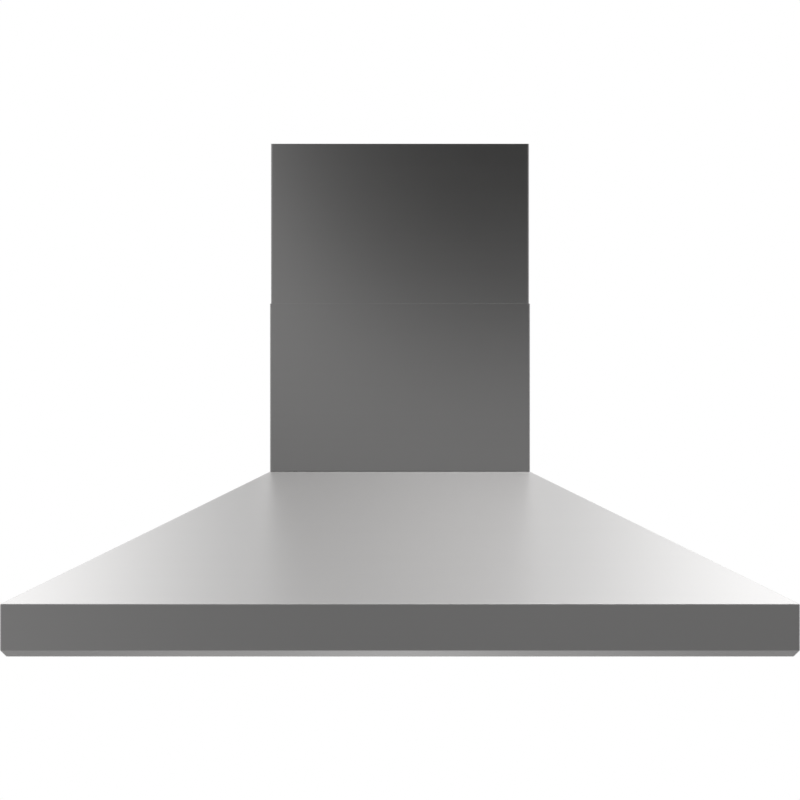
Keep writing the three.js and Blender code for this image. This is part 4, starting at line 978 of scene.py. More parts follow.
def offset_corners(outline, distance):
    """The corners of a closed outline in the XZ plane, moved inwards by a distance."""
    moved = []
    for i, corner in enumerate(outline):
        into = (corner - outline[i - 1]).normalized()
        out = (outline[(i + 1) % len(outline)] - corner).normalized()
        inward = (Vector((-into.y, into.x)) + Vector((-out.y, out.x))).normalized()
        moved.append(corner + inward * distance / inward.dot(Vector((-out.y, out.x))))
    return moved


def canopy_ring(half, front, rear, height):
    """Four corners round the canopy: left rear, left front, right front and right rear."""
    corners = [(-half, rear), (-half, front), (half, front), (half, rear)]
    return [(x, y, height) for x, y in corners]


def canopy_skin():
    """The canopy as one folded sheet: lip, apron, four-sided slope, top and rear flange."""
    size = sizes()
    low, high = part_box("canopy_shell")
    cover_low, cover_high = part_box("lower_chimney_cover")
    back = high.y
    apron_foot = low.z + size.lip_height
    inset = size.lip_height
    mouth = inset + size.lip_return
    window_half = cover_high.x - size.window_margin
    rings = [
        canopy_ring(high.x - mouth, low.y + mouth, back - size.lip_return, low.z),
        canopy_ring(high.x - inset, low.y + inset, back, low.z),
        canopy_ring(high.x, low.y, back, apron_foot),
        canopy_ring(high.x, low.y, back, apron_foot + size.apron_height),
        canopy_ring(cover_high.x, cover_low.y, back, high.z),
        canopy_ring(window_half, cover_low.y + size.rear_flange, back - size.window_margin, high.z),
    ]
    points = [point for corners in rings for point in corners]
    faces = []
    for level in range(len(rings) - 1):
        sides = 4 if level in (0, len(rings) - 2) else 3
        for side in range(sides):
            near = 4 * level + side
            far = 4 * level + (side + 1) % 4
            faces.append((near, far, far + 4, near + 4))
    lip_left, foot_left, apron_left, slope_left = (4 * level for level in (1, 2, 3, 4))
    lip_right, foot_right, apron_right, slope_right = (4 * level + 3 for level in (1, 2, 3, 4))
    outer = [foot_right, apron_right, slope_right, slope_left, apron_left, foot_left]
    outline = [Vector((points[i][0], points[i][2])) for i in outer]
    outline[0].y = outline[-1].y = low.z
    inner = []
    for corner in offset_corners(outline, size.rear_flange):
        inner.append(len(points))
        points.append((corner.x, back, corner.y))
    for i in range(len(outer) - 1):
        faces.append((outer[i + 1], outer[i], inner[i], inner[i + 1]))
    faces.append((foot_right, lip_right, inner[0]))
    faces.append((lip_left, foot_left, inner[-1]))
    faces.append((lip_right, lip_left, inner[-1], inner[0]))
    return fold(dress("canopy_shell", sheet_form(points, faces)), size.canopy_sheet)


# ---- Chimney covers ----


def chimney_cover(node):
    """A cover folded from one sheet: front, two sides and a return at the back of each."""
    size = sizes()
    low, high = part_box(node)
    turned_in = high.x - size.cover_return
    path = [
        (-turned_in, high.y),
        (low.x, high.y),
        (low.x, low.y),
        (high.x, low.y),
        (high.x, high.y),
        (turned_in, high.y),
    ]
    points = [(x, y, z) for z in (low.z, high.z) for x, y in path]
    return fold(dress(node, sheet_form(points, strip_faces(len(path)))), size.cover_sheet)


# ---- Filters ----

BAFFLES_UPPER = 6
BAFFLE_WIDTH = 0.027
BAFFLE_LEG = 0.011
BAFFLE_FOLD = 0.0025
BAFFLE_SHEET = 0.0008
BAFFLE_EDGE_SHARE = 0.25
BAFFLE_EDGE_ANGLE = 40.0
TIE_WIDTH = 0.012
HANDLE_HALF_WIDTH = 0.022
HANDLE_BEND_SHARE = 0.75


def trough(x, front, rear, top):
    """A trough turned over, with its floor at the top and its legs down."""
    half = BAFFLE_WIDTH / 2
    tip = top - BAFFLE_LEG
    path = [
        (x - half, tip),
        (x - half, top - BAFFLE_FOLD),
        (x - half + BAFFLE_FOLD, top),
        (x + half - BAFFLE_FOLD, top),
        (x + half, top - BAFFLE_FOLD),
        (x + half, tip),
    ]
    points = [(px, y, pz) for y in (front, rear) for px, pz in path]
    return sheet_form(points, strip_faces(len(path)))


def upper_baffles(side):
    """Six troughs over the gaps of the lower row, and the strip that ties each end of them."""
    node = f"filter_baffles_{side}"
    low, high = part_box(node)
    first, last = low.x + BAFFLE_WIDTH / 2, high.x - BAFFLE_WIDTH / 2
    step = (high.x - low.x - BAFFLE_WIDTH) / (BAFFLES_UPPER - 1)
    form = grown(
        trough(first, low.y, high.y, high.z),
        "Row of Pieces",
        row_tree,
        SLOT_OF[node],
        Count=BAFFLES_UPPER,
        Step=(step, 0.0, 0.0),
    )
    tie_height = high.z - BAFFLE_SHEET
    for front, rear in ((low.y, low.y + TIE_WIDTH), (high.y - TIE_WIDTH, high.y)):
        corners = [(first, front), (last, front), (last, rear), (first, rear)]
        form.faces.new([form.verts.new((x, y, tie_height)) for x, y in corners])
    piece = thicken(dress(node, form), BAFFLE_SHEET)
    return soften(piece, BAFFLE_SHEET * BAFFLE_EDGE_SHARE, BAFFLE_EDGE_ANGLE)


def wire_handle(side):
    """The folding handle: a bent wire whose ends turn out into the filter's lugs."""
    node = f"filter_handle_{side}"
    wire = sizes().handle_wire
    low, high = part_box(node)
    centre = middle(node)
    left, right = centre.x - HANDLE_HALF_WIDTH, centre.x + HANDLE_HALF_WIDTH
    pivot, far = low.y + wire / 2, high.y - wire / 2
    places = [(low.x, pivot), (left, pivot), (left, far)]
    places += [(right, far), (right, pivot), (high.x, pivot)]
    corners = [Vector((x, y, centre.z)) for x, y in places]
    return dress(node, bent_wire(corners, wire, HANDLE_BEND_SHARE * wire))


# ---- Controls ----

PLATE_CORNER = 0.003
PLATE_FLATNESS = 50
BUTTON_RADIUS = 0.009
BUTTON_EDGE = 0.0008
BUTTON_RIM = 0.0014
BUTTON_STEM = 0.003
BUTTON_DISH = 0.0004


def push_button(name):
    """A turned cap with a dished face, a rim that keeps it in the plate, and a stem."""
    node = f"button_{name}"
    low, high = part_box(node)
    rim_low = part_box("button_plate")[1].z + HOLE_GAP
    profile = [
        (0.0, low.z + BUTTON_DISH),
        (BUTTON_RADIUS - 3 * BUTTON_EDGE, low.z + BUTTON_DISH / 2),
        (BUTTON_RADIUS - BUTTON_EDGE, low.z),
        (BUTTON_RADIUS, low.z + BUTTON_EDGE),
        (BUTTON_RADIUS, rim_low),
        (BUTTON_RADIUS + BUTTON_RIM, rim_low),
        (BUTTON_RADIUS + BUTTON_RIM, rim_low + BUTTON_RIM),
        (BUTTON_STEM, rim_low + BUTTON_RIM),
        (BUTTON_STEM, high.z),
        (0.0, high.z),
    ]
    return turned_piece(node, profile)


def control_plate():
    """The plate that the five buttons stand in."""
    low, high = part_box("button_plate")
    holes = []
    for name in BUTTONS:
        centre = middle(f"button_{name}")
        holes.append(round_outline(centre.x, centre.y, BUTTON_RADIUS + HOLE_GAP))
    outline = rounded_rectangle(low, high, PLATE_CORNER)
    form = flat_plate(outline, holes, low.z, high.z, sizes().edge_softness)
    return keep_flats(dress("button_plate", form), PLATE_FLATNESS)


# ---- Lamps ----

LAMP_RADIUS = 0.028
LAMP_WALL = 0.0015
LAMP_FINS = 3
LAMP_CORE_SHARE = 0.7
BEZEL_LEDGE = 0.0025
BEZEL_SHELF = 0.001
BEZEL_EDGE = 0.001
BEZEL_SLOPE = (0.0012, 0.0006)


def lamp_bezel(side):
    """A turned ring with a sloped inner edge round the lens."""
    node = f"lamp_bezel_{side}"
    low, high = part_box(node)
    outer = radius_of(node, "x")
    seat = LAMP_RADIUS - LAMP_WALL
    inner = seat - BEZEL_LEDGE
    shelf = high.z - BEZEL_SHELF
    profile = [
        (inner, shelf),
        (inner, low.z + BEZEL_SLOPE[1]),
        (inner + BEZEL_SLOPE[0], low.z),
        (outer - BEZEL_EDGE, low.z),
        (outer, low.z + BEZEL_EDGE),
        (outer, high.z),
        (seat, high.z),
        (seat, shelf),
    ]
    return turned_piece(node, profile, segments=FINE_SEGMENTS, closed=True, rounding=3)


def lamp_lens(side):
    """A shallow lens with a bevelled edge."""
    node = f"lamp_lens_{side}"
    low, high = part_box(node)
    radius = radius_of(node, "x")
    edge = (high.z - low.z) / 3
    profile = [
        (0.0, low.z),
        (radius - edge, low.z),
        (radius, low.z + edge),
        (radius, high.z),
        (0.0, high.z),
    ]
    return turned_piece(node, profile, segments=FINE_SEGMENTS)


def lamp_housing(side):
    """A cast cup, open below, with cooling fins round its upper half."""
    node = f"lamp_housing_{side}"
    low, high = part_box(node)
    half_height = (high.z - low.z) / 2
    pitch = half_height / LAMP_FINS
    core = LAMP_CORE_SHARE * LAMP_RADIUS
    bore = LAMP_RADIUS - LAMP_WALL
    profile = [(bore, low.z), (LAMP_RADIUS, low.z), (LAMP_RADIUS, low.z + half_height)]
    for i in range(LAMP_FINS):
        foot = low.z + half_height + i * pitch
        profile += [
            (core, foot),
            (core, foot + pitch / 2),
            (LAMP_RADIUS, foot + pitch / 2),
            (LAMP_RADIUS, foot + pitch),
        ]
    ceiling = low.z + half_height - LAMP_WALL
    profile += [(0.0, high.z), (0.0, ceiling), (bore, ceiling)]
    return turned_piece(node, profile, closed=True)


# ---- Blower ----

HUB_RADIUS = 0.012
BLADE_DEPTH = 0.013
BLADE_SHEET = 0.0012
BLADE_STEPS = 4
BLADE_LEAD = 1.4
WHEEL_GAP = 0.001
CAN_DOME_SHARE = 1 / 6
CAN_GAP = 0.001
RIBS_START = 0.4
RIB_COUNT = 5
RIB_PITCH = 0.004
RIB_DEPTH = 0.0012
CAN_ANGLE = 20.0
SHAFT_EDGE = 0.0006
BUSH_SEGMENTS = 40
BUSH_WAIST = 0.75


def blade(radius, half_width, count):
    """One forward-curved blade, about a shaft through the origin along X."""
    lead = 2 * math.pi / count / BLADE_LEAD
    path = []
    for i in range(BLADE_STEPS + 1):
        along = i / BLADE_STEPS
        reach = radius - BLADE_DEPTH * (1 - along)
        path.append((reach * math.cos(lead * along**2), reach * math.sin(lead * along**2)))
    points = [(x, y, z) for x in (-half_width, half_width) for y, z in path]
    return sheet_form(points, strip_faces(len(path)))


def wheel_blades():
    """The ring of blades, which stand a little inside the wheel's end rings."""
    half_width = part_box("blower_wheel")[1].x - WHEEL_GAP
    centre = middle("motor_shaft")
    slot = SLOT_OF["blower_wheel"]
    count = sizes().blade_count
    blades = grown(
        blade(radius_of("blower_wheel") - WHEEL_GAP, half_width, count),
        "Ring of Blades",
        ring_tree,
        slot,
        Count=count,
        Centre=(0.0, centre.y, centre.z),
    )
    row = add_piece("wheel_blades", blades, BODY_OF["blower_wheel"], slot)
    return thicken(row, BLADE_SHEET, offset=0.0)


def blower_wheel():
    """The wheel's two end rings and its middle disc with the hub."""
    low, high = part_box("blower_wheel")
    centre = middle("motor_shaft")
    outer = radius_of("blower_wheel")
    inner = outer - WHEEL_GAP - BLADE_DEPTH - WHEEL_GAP
    bore = radius_of("motor_shaft") + HOLE_GAP
    ring = 2 * BLADE_SHEET
    half_disc = BLADE_SHEET / 2
    hub_end = 2 * HUB_RADIUS
    disc = [
        (bore, -ring),
        (HUB_RADIUS, -ring),
        (HUB_RADIUS, -half_disc),
        (outer, -half_disc),
        (outer, half_disc),
        (HUB_RADIUS, half_disc),
        (HUB_RADIUS, hub_end),
        (bore, hub_end),
    ]
    form = turned(disc, centre, "X", closed=True)
    for start in (low.x, high.x - ring):
        outline = [(inner, start), (outer, start), (outer, start + ring), (inner, start + ring)]
        holder = mesh_of(turned(outline, centre, "X", closed=True), "ring")
        form.from_mesh(holder)
        bpy.data.meshes.remove(holder)
    return soften(dress("blower_wheel", form))


def motor_can():
    """The motor's drawn can, with its domed ends and a band of cooling ribs."""
    low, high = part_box("motor")
    radius = radius_of("motor")
    dome = radius * CAN_DOME_SHARE
    bore = radius_of("motor_shaft") + HOLE_GAP
    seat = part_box("motor_shaft")[0].x - CAN_GAP
    ribs_start = low.x + RIBS_START * (high.x - low.x)
    groove = radius - RIB_DEPTH
    ribs = []
    for i in range(RIB_COUNT):
        foot = ribs_start + i * RIB_PITCH
        ribs += [(radius, foot), (groove, foot + RIB_PITCH / 4), (groove, foot + RIB_PITCH / 2)]
    profile = [
        (0.0, low.x),
        (radius - dome, low.x),
        (radius, low.x + dome),
        *ribs,
        (radius, ribs_start + RIB_COUNT * RIB_PITCH),
        (radius, high.x - 2 * dome),
        (radius - dome, high.x - dome),
        (HUB_RADIUS, high.x - dome),
        (HUB_RADIUS, high.x),
        (bore, high.x),
        (bore, seat),
        (0.0, seat),
    ]
    return turned_piece("motor", profile, "X", about="motor_shaft", angle=CAN_ANGLE)


def motor_bush(side):
    """A rubber bush with a waist."""
    node = f"motor_bush_{side}"
    low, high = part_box(node)
    radius = radius_of(node)
    half = (high.x - low.x) / 2
    profile = [
        (0.0, low.x),
        (radius, low.x),
        (radius, low.x + half / 3),
        (BUSH_WAIST * radius, low.x + half),
        (radius, high.x - half / 3),
        (radius, high.x),
        (0.0, high.x),
    ]
    return turned_piece(node, profile, "X", segments=BUSH_SEGMENTS)


# ---- Outlet ----

# Each stage is how round the adapter is there, and its share of the rise to the collar.
ADAPTER_STAGES = [(0.0, 0.0), (0.25, 0.2), (0.75, 0.7), (1.0, 1.0)]
COLLAR_HEIGHT = 0.048
COLLAR_WALL = 0.002
OUTLET_FLANGE = 0.014
FLANGE_SQUARENESS = 12
ADAPTER_POINTS = 96
ADAPTER_ANGLE = 35.0
PIN_SEGMENTS = 32


def outlet_adapter():
    """The moulding that runs from the scroll's rectangle to the round duct, with its flange."""
    low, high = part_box("outlet_adapter")
    pin_low, pin_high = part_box("damper_pin")
    throat_low, throat_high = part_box("outlet_gasket")
    throat = (throat_low + throat_high) / 2
    half = (throat_high - throat_low) / 2
    duct = Vector((0.0, (pin_low.y + pin_high.y) / 2))
    foot = low.z + COLLAR_WALL
    turns = [2 * math.pi * (i + 0.5) / ADAPTER_POINTS for i in range(ADAPTER_POINTS)]
    ways = [(math.cos(turn), math.sin(turn)) for turn in turns]
    form = bmesh.new()

    def wall_ring(share_round, inset, height):
        verts = []
        for cos, sin in ways:
            reach = 1 / max(abs(cos) / (half.x - inset), abs(sin) / (half.y - inset))
            square = Vector((cos * reach, throat.y + sin * reach))
            circle = duct + Vector((cos, sin)) * (pin_high.x - inset)
            verts.append(form.verts.new((*square.lerp(circle, share_round), height)))
        return verts

    def flange_ring(height):
        wide, deep = half.x + OUTLET_FLANGE, half.y + OUTLET_FLANGE
        power = FLANGE_SQUARENESS
        verts = []
        for cos, sin in ways:
            reach = 1 / (abs(cos / wide) ** power + abs(sin / deep) ** power) ** (1 / power)
            verts.append(form.verts.new((cos * reach, throat.y + sin * reach, height)))
        return verts

    rise = high.z - COLLAR_HEIGHT - foot
    stages = [(blend, foot + portion * rise) for blend, portion in ADAPTER_STAGES]
    stages.append((1.0, high.z))
    loops = [flange_ring(low.z), flange_ring(foot)]
    loops += [wall_ring(blend, 0.0, height) for blend, height in stages]
    loops += [wall_ring(blend, COLLAR_WALL, height) for blend, height in reversed(stages)]
    loops.append(wall_ring(0.0, COLLAR_WALL, low.z))
    for lower, upper in zip(loops, loops[1:] + loops[:1]):
        for i in range(ADAPTER_POINTS):
            j = (i + 1) % ADAPTER_POINTS
            form.faces.new((lower[i], lower[j], upper[j], upper[i]))
    bmesh.ops.recalc_face_normals(form, faces=form.faces)
    return soften(dress("outlet_adapter", form), angle=ADAPTER_ANGLE)


# ---- Electrical pieces ----

# The gland's other sizes are shares of its radius. The cap's points go across, then outward.
GLAND_RADIUS = 0.009
GLAND_REACH = 1.6
GLAND_SHANK = 0.65
GLAND_BORE = 0.45
GLAND_CAP = [(1.0, 0.0), (1.0, 0.55), (0.92, 0.6), (0.92, 1.0), (0.85, 1.35)]
GLAND_MOUTH = 0.7
CAP_HEIGHT = 0.003
CAP_CURL = (0.001, 0.0006)
ROLL_FOOT = 0.004
ROLL_HEIGHT = 0.003
ROLL_DEPTH = 0.0006


def mains_gland():
    """A cable gland: shank, nut and domed cap, with the cable's bore."""
    low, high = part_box("mains_gland")
    wall = high.y - GLAND_REACH * GLAND_RADIUS
    shank = GLAND_SHANK * GLAND_RADIUS
    bore = GLAND_BORE * GLAND_RADIUS
    profile = [
        (bore, low.y),
        (shank, low.y),
        (shank, wall),
        *((across * GLAND_RADIUS, wall + along * GLAND_RADIUS) for across, along in GLAND_CAP),
        (GLAND_MOUTH * GLAND_RADIUS, high.y),
        (bore, high.y),
    ]
    return turned_piece("mains_gland", profile, "Y", closed=True)


def run_capacitor():
    """A drawn can with a rolled groove, a curled edge and its terminal cap."""
    low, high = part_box("capacitor")
    radius = radius_of("capacitor", "x")
    top = high.z - CAP_HEIGHT
    roll = low.z + ROLL_FOOT
    profile = [
        (0.0, low.z),
        (radius, low.z),
        (radius, roll),
        (radius - ROLL_DEPTH, roll + ROLL_DEPTH),
        (radius - ROLL_DEPTH, roll + ROLL_HEIGHT - ROLL_DEPTH),
        (radius, roll + ROLL_HEIGHT),
        (radius, top),
        (radius - CAP_CURL[0], top + CAP_CURL[1]),
        (radius / 2, top),
        (radius / 2, high.z),
        (0.0, high.z),
    ]
    return turned_piece("capacitor", profile)


# ---- Fasteners ----

SCREW_SEED = 7
SCREW_SEGMENTS = 24
SCREW_HEAD = [(0.5, 0.0), (0.5, 0.1), (0.46, 0.22), (0.36, 0.31), (0.2, 0.35), (0.0, 0.36)]
RECESS_RIM = (0.27, 0.055, 0.365)
RECESS_FLOOR = (0.17, 0.03, 0.165)
PANEL_SCREW_INSET = 0.035
PANEL_SCREW_PLACE = 0.15
SCREW_INSET = 0.006
SPIDER_SCREW_DEPTH = 0.004
BOX_SCREW_PLACE = 0.1
BOX_SCREW_INSET = 0.0035
BOX_SHEET = 0.001
BRACKET_SCREW_PLACE = 0.06
DOWN, UP, FRONT, LEFT = (0.0, 0.0, -1.0), (0.0, 0.0, 1.0), (0.0, -1.0, 0.0), (-1.0, 0.0, 0.0)


def recess_corners(form, turn, half_length, half_width, height):
    """Four corners of a slot across the middle of a screw's head."""
    along = Vector((math.cos(turn), math.sin(turn), 0.0)) * half_length
    across = Vector((-math.sin(turn), math.cos(turn), 0.0)) * half_width
    centre = Vector((0.0, 0.0, height))
    signs = [(-1, -1), (1, -1), (1, 1), (-1, 1)]
    return [form.verts.new(centre + along * a + across * b) for a, b in signs]


def screw_form():
    """A pan head with a cross recess, one unit across, standing on the origin along Z."""
    form = turned([(0.0, 0.0), *SCREW_HEAD], Vector((0.0, 0.0, 0.0)), segments=SCREW_SEGMENTS)
    for turn in (0.0, math.pi / 2):
        rim = recess_corners(form, turn, *RECESS_RIM)
        floor = recess_corners(form, turn, *RECESS_FLOOR)
        form.faces.new(floor)
        for i in range(4):
            j = (i + 1) % 4
            form.faces.new((rim[i], rim[j], floor[j], floor[i]))
    return form


def screw_places():
    """Where each screw stands and which way it faces, for each body that holds screws."""
    panel_low, panel_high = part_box("underside_panel")
    plate_low, plate_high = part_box("button_plate")
    lid_low, lid_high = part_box("junction_lid")
    flange_low, flange_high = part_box("outlet_adapter")
    box_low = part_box("blower_box")[0]
    strip = (plate_low.y + plate_high.y) / 2
    panel_ends = (panel_low.x + PANEL_SCREW_INSET, panel_high.x - PANEL_SCREW_INSET)
    hood = []
    for x in (panel_ends[0], -PANEL_SCREW_PLACE, PANEL_SCREW_PLACE, panel_ends[1]):
        hood.append(((x, strip, panel_low.z), DOWN))
    for x in (plate_low.x + SCREW_INSET, plate_high.x - SCREW_INSET):
        hood.append(((x, strip, plate_low.z), DOWN))
    for x in (lid_low.x + SCREW_INSET, lid_high.x - SCREW_INSET):
        for y in (lid_low.y + SCREW_INSET, lid_high.y - SCREW_INSET):
            hood.append(((x, y, lid_high.z), UP))
    for x in (flange_low.x + SCREW_INSET, 0.0, flange_high.x - SCREW_INSET):
        for y in (flange_low.y + SCREW_INSET, flange_high.y - SCREW_INSET):
            hood.append(((x, y, flange_low.z + COLLAR_WALL), UP))
    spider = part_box("motor_spider")[0].x + SPIDER_SCREW_DEPTH
    for side in BUSH_SIDES:
        centre = middle(f"motor_bush_{side}")
        hood.append(((spider, centre.y, centre.z), LEFT))
    for x in (-BOX_SCREW_PLACE, 0.0, BOX_SCREW_PLACE):
        hood.append(((x, box_low.y + BOX_SCREW_INSET, box_low.z + BOX_SHEET), UP))
    front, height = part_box("chimney_wall_bracket")[0].y, middle("chimney_wall_bracket").z
    bracket = [((x, front, height), FRONT) for x in (-BRACKET_SCREW_PLACE, BRACKET_SCREW_PLACE)]
    return {BODY_OF["canopy_shell"]: hood, BODY_OF["upper_chimney_cover"]: bracket}


def add_screws(body, places, screw):
    """Grows a body's screws from the points where they stand."""
    points = bmesh.new()
    facing = points.verts.layers.float_vector.new("facing")
    for place, direction in places:
        points.verts.new(place)[facing] = direction
    screws = grown(
        points,
        "Screws",
        fastener_tree,
        "bright_steel",
        Screw=screw,
        Size=sizes().screw_size,
        Seed=SCREW_SEED,
    )
    return add_piece(f"screws_{body}", screws, body, "bright_steel")


# ---- Stage ----

WHITE = (1.0, 1.0, 1.0, 1.0)
FLOOR_REACH = 20.0
FLOOR_CLOUDS = 0.8
FLOOR_SHADES = (0.84, 0.88)
FLOOR_GLOW = 0.5
CARD_REACH = 2.2
CARD_FRONT_PLACE = -0.95
CARD_FOOT = -0.55
FRONT_CARD_TOP = 1.3
CEILING_HEIGHT = 2.0
CEILING_SPLIT = -0.35
FLOOR_CARD_REAR = -0.3
FLOOR_CARD_LIFT = 0.05
SIDE_LEVEL = 0.5
LAMP_TARGET = Vector((0.0, -0.25, 0.1))
KEY_PLACE, KEY_SIZE = Vector((-1.3, -2.3, 2.3)), 2.4
FILL_PLACE, FILL_SIZE = Vector((2.6, -0.6, 1.4)), 1.8
CLIP_START, CLIP_END = 1.0, 200.0

# Each list below holds (place, level) stops. The levels change smoothly from stop to stop.
DARK_PLACE = (0.16, CARD_FRONT_PLACE, 0.62)
DARK_LEVELS = [(0.0, 0.0), (0.15, 0.0), (0.3, 0.035), (0.45, 0.36), (0.6, 0.19), (2.5, 0.205)]
CARD_LEVELS = [(-1.0, 0.15), (0.0, 0.0), (1.0, 0.0)]
FRONT_CEILING = [
    (-2.2, 0.6),
    (-1.0, 1.1),
    (-0.2, 1.12),
    (-0.06, 1.16),
    (0.0, 1.55),
    (0.04, 2.05),
    (0.12, 1.98),
    (0.2, 1.92),
    (1.0, 1.75),
    (2.2, 0.6),
]
REAR_CEILING = [
    (-2.2, 0.6),
    (-1.0, 1.5),
    (-0.45, 1.8),
    (-0.37, 1.25),
    (-0.3, 0.93),
    (-0.16, 0.59),
    (0.16, 0.79),
    (0.26, 0.99),
    (0.37, 1.5),
    (0.45, 1.72),
    (1.0, 1.6),
    (2.2, 0.6),
]
FLOOR_CARD = [
    (-1.0, 0.35),
    (-0.4, 0.35),
    (-0.2, 0.47),
    (0.0, 0.62),
    (0.2, 0.45),
    (0.4, 0.34),
    (1.0, 0.34),
]


def white_where_seen(tree):
    """1 for rays from the camera and for those that metal and glass send on, 0 for the rest."""
    path = add(tree, "ShaderNodeLightPath").outputs
    seen = math_node(tree, "MAXIMUM", path["Is Camera Ray"], path["Is Glossy Ray"])
    return math_node(tree, "MAXIMUM", seen, path["Is Transmission Ray"])


def pale_world():
    """A world that is white where it is seen, and dimmer as a light."""
    world = bpy.data.worlds.new("Pale Studio")
    world.use_nodes = True
    tree = world.node_tree
    ambient = bpy.context.scene.hood_studio.ambient
    background = tree.nodes["Background"]
    background.inputs["Color"].default_value = WHITE
    strength = ranged(tree, white_where_seen(tree), ZERO_TO_ONE, (ambient, 1.0))
    tree.links.new(strength, background.inputs["Strength"])
    bpy.context.scene.world = world


def stage_quad(name, corners, material):
    """A four-cornered piece of the stage, which isn't part of the object."""
    form = bmesh.new()
    form.faces.new([form.verts.new(corner) for corner in corners])
    mesh = mesh_of(form, name)
    mesh.materials.append(material)
    piece = bpy.data.objects.new(name, mesh)
    bpy.context.scene.collection.objects.link(piece)
    piece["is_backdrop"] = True
    return piece


def stage_material(name):
    """A material with no shader yet, its tree and places, and the socket that takes its surface."""
    material = bpy.data.materials.new(name)
    material.use_nodes = True
    tree = material.node_tree
    tree.nodes.remove(tree.nodes["Principled BSDF"])
    place = add(tree, "ShaderNodeTexCoord").outputs["Object"]
    return material, tree, place, tree.nodes["Material Output"].inputs["Surface"]


def floor_material():
    """A pale floor that reads white, keeps soft shadows and can be looked through from below."""
    material, tree, place, surface = stage_material("Pale Floor")
    shade = ranged(tree, noise(tree, place, FLOOR_CLOUDS), ZERO_TO_ONE, FLOOR_SHADES)
    matt = add(tree, "ShaderNodeBsdfDiffuse", {"Color": shade})
    lift = math_node(tree, "MULTIPLY", white_where_seen(tree), FLOOR_GLOW)
    glow = add(tree, "ShaderNodeEmission", {"Color": WHITE, "Strength": lift})
    pale = add(tree, "ShaderNodeAddShader", {0: matt.outputs[0], 1: glow.outputs[0]})
    behind = add(tree, "ShaderNodeNewGeometry").outputs["Backfacing"]
    from_camera = add(tree, "ShaderNodeLightPath").outputs["Is Camera Ray"]
    clear = add(tree, "ShaderNodeBsdfTransparent")
    from_below = math_node(tree, "MULTIPLY", behind, from_camera)
    inputs = {0: from_below, 1: pale.outputs[0], 2: clear.outputs[0]}
    tree.links.new(add(tree, "ShaderNodeMixShader", inputs).outputs[0], surface)
    return material


def stepped_level(tree, value, stops):
    """A level that changes smoothly between (place, level) stops."""
    reach = max(abs(place) for place, _ in stops)
    peak = max(level for _, level in stops)
    ramp = add(tree, "ShaderNodeValToRGB", {0: ranged(tree, value, (-reach, reach))})
    ramp.color_ramp.interpolation = "EASE"
    elements = ramp.color_ramp.elements
    elements.remove(elements[1])
    for i, (place, level) in enumerate(stops):
        position = (place + reach) / (2 * reach)
        element = elements[0] if i == 0 else elements.new(position)
        element.position = position
        element.color = (level / peak, level / peak, level / peak, 1.0)
    return math_node(tree, "MULTIPLY", ramp.outputs["Color"], peak)


def light_card(name, level_of, corners):
    """A card that glows at the level that level_of gives for a place on it."""
    material, tree, place, surface = stage_material(name)
    level = level_of(tree, place)
    glow = add(tree, "ShaderNodeEmission", {"Color": WHITE, "Strength": level})
    tree.links.new(glow.outputs[0], surface)
    card = stage_quad(name.lower().replace(" ", "_"), corners, material)
    card.visible_camera = False
    card.visible_diffuse = False
    card.visible_transmission = False
    card.visible_shadow = False
    card.visible_volume_scatter = False
    return card


def level_across(tree, place, stops):
    return stepped_level(tree, coordinate(tree, place, "X"), stops)


def front_card():
    """The grey card before the hood, darker above the right of the chimney."""

    def level_of(tree, place):
        distance = vector_node(tree, "DISTANCE", place, DARK_PLACE)
        round_dark = stepped_level(tree, distance, DARK_LEVELS)
        return math_node(tree, "ADD", round_dark, level_across(tree, place, CARD_LEVELS))

    y, reach, low, high = CARD_FRONT_PLACE, CARD_REACH, CARD_FOOT, FRONT_CARD_TOP
    corners = [(-reach, y, low), (reach, y, low), (reach, y, high), (-reach, y, high)]
    return light_card("Front Card", level_of, corners)


def side_card(name, x):
    """A plain upright card beside the hood."""
    front, rear, low, high = CARD_FRONT_PLACE, CARD_REACH, CARD_FOOT, CEILING_HEIGHT
    corners = [(x, front, low), (x, rear, low), (x, rear, high), (x, front, high)]
    return light_card(name, lambda tree, place: SIDE_LEVEL, corners)


def level_card(name, stops, front, rear, height):
    """A card that lies level, lighter and darker across."""
    reach = CARD_REACH
    corners = [(-reach, front), (-reach, rear), (reach, rear), (reach, front)]
    corners = [(x, y, height) for x, y in corners]
    return light_card(name, lambda tree, place: level_across(tree, place, stops), corners)


def area_lamp(name, place, size, level):
    """A large soft lamp, whose level is its radiance."""
    data = bpy.data.lights.new(name, "AREA")
    data.shape = "SQUARE"
    data.size = size
    data.energy = math.pi * size**2 * level
    lamp = bpy.data.objects.new(name, data)
    lamp.location = place
    lamp.rotation_euler = (LAMP_TARGET - place).to_track_quat("-Z", "Y").to_euler()
    lamp.visible_glossy = False
    bpy.context.scene.collection.objects.link(lamp)


def front_camera():
    """A long lens straight before the hood, whose canopy fills the frame from side to side."""
    studio = bpy.context.scene.hood_studio
    data = bpy.data.cameras.new("camera")
    data.lens = studio.lens
    low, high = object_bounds()
    distance = (high[0] - low[0]) * data.lens / data.sensor_width
    data.clip_start = CLIP_START
    data.clip_end = CLIP_END
    camera = bpy.data.objects.new("camera", data)
    camera.location = (0.0, low[1] - distance, studio.eye_height)
    camera.rotation_euler = (math.pi / 2, 0.0, 0.0)
    bpy.context.scene.collection.objects.link(camera)
    bpy.context.scene.camera = camera


# ---- Operators ----

CLIP_EDGE = 0.0001
BOARD_EDGE = 0.0001
FRAME_EDGE = 0.0002
LEAD_EDGE, LEAD_ANGLE = 0.0002, 70.0


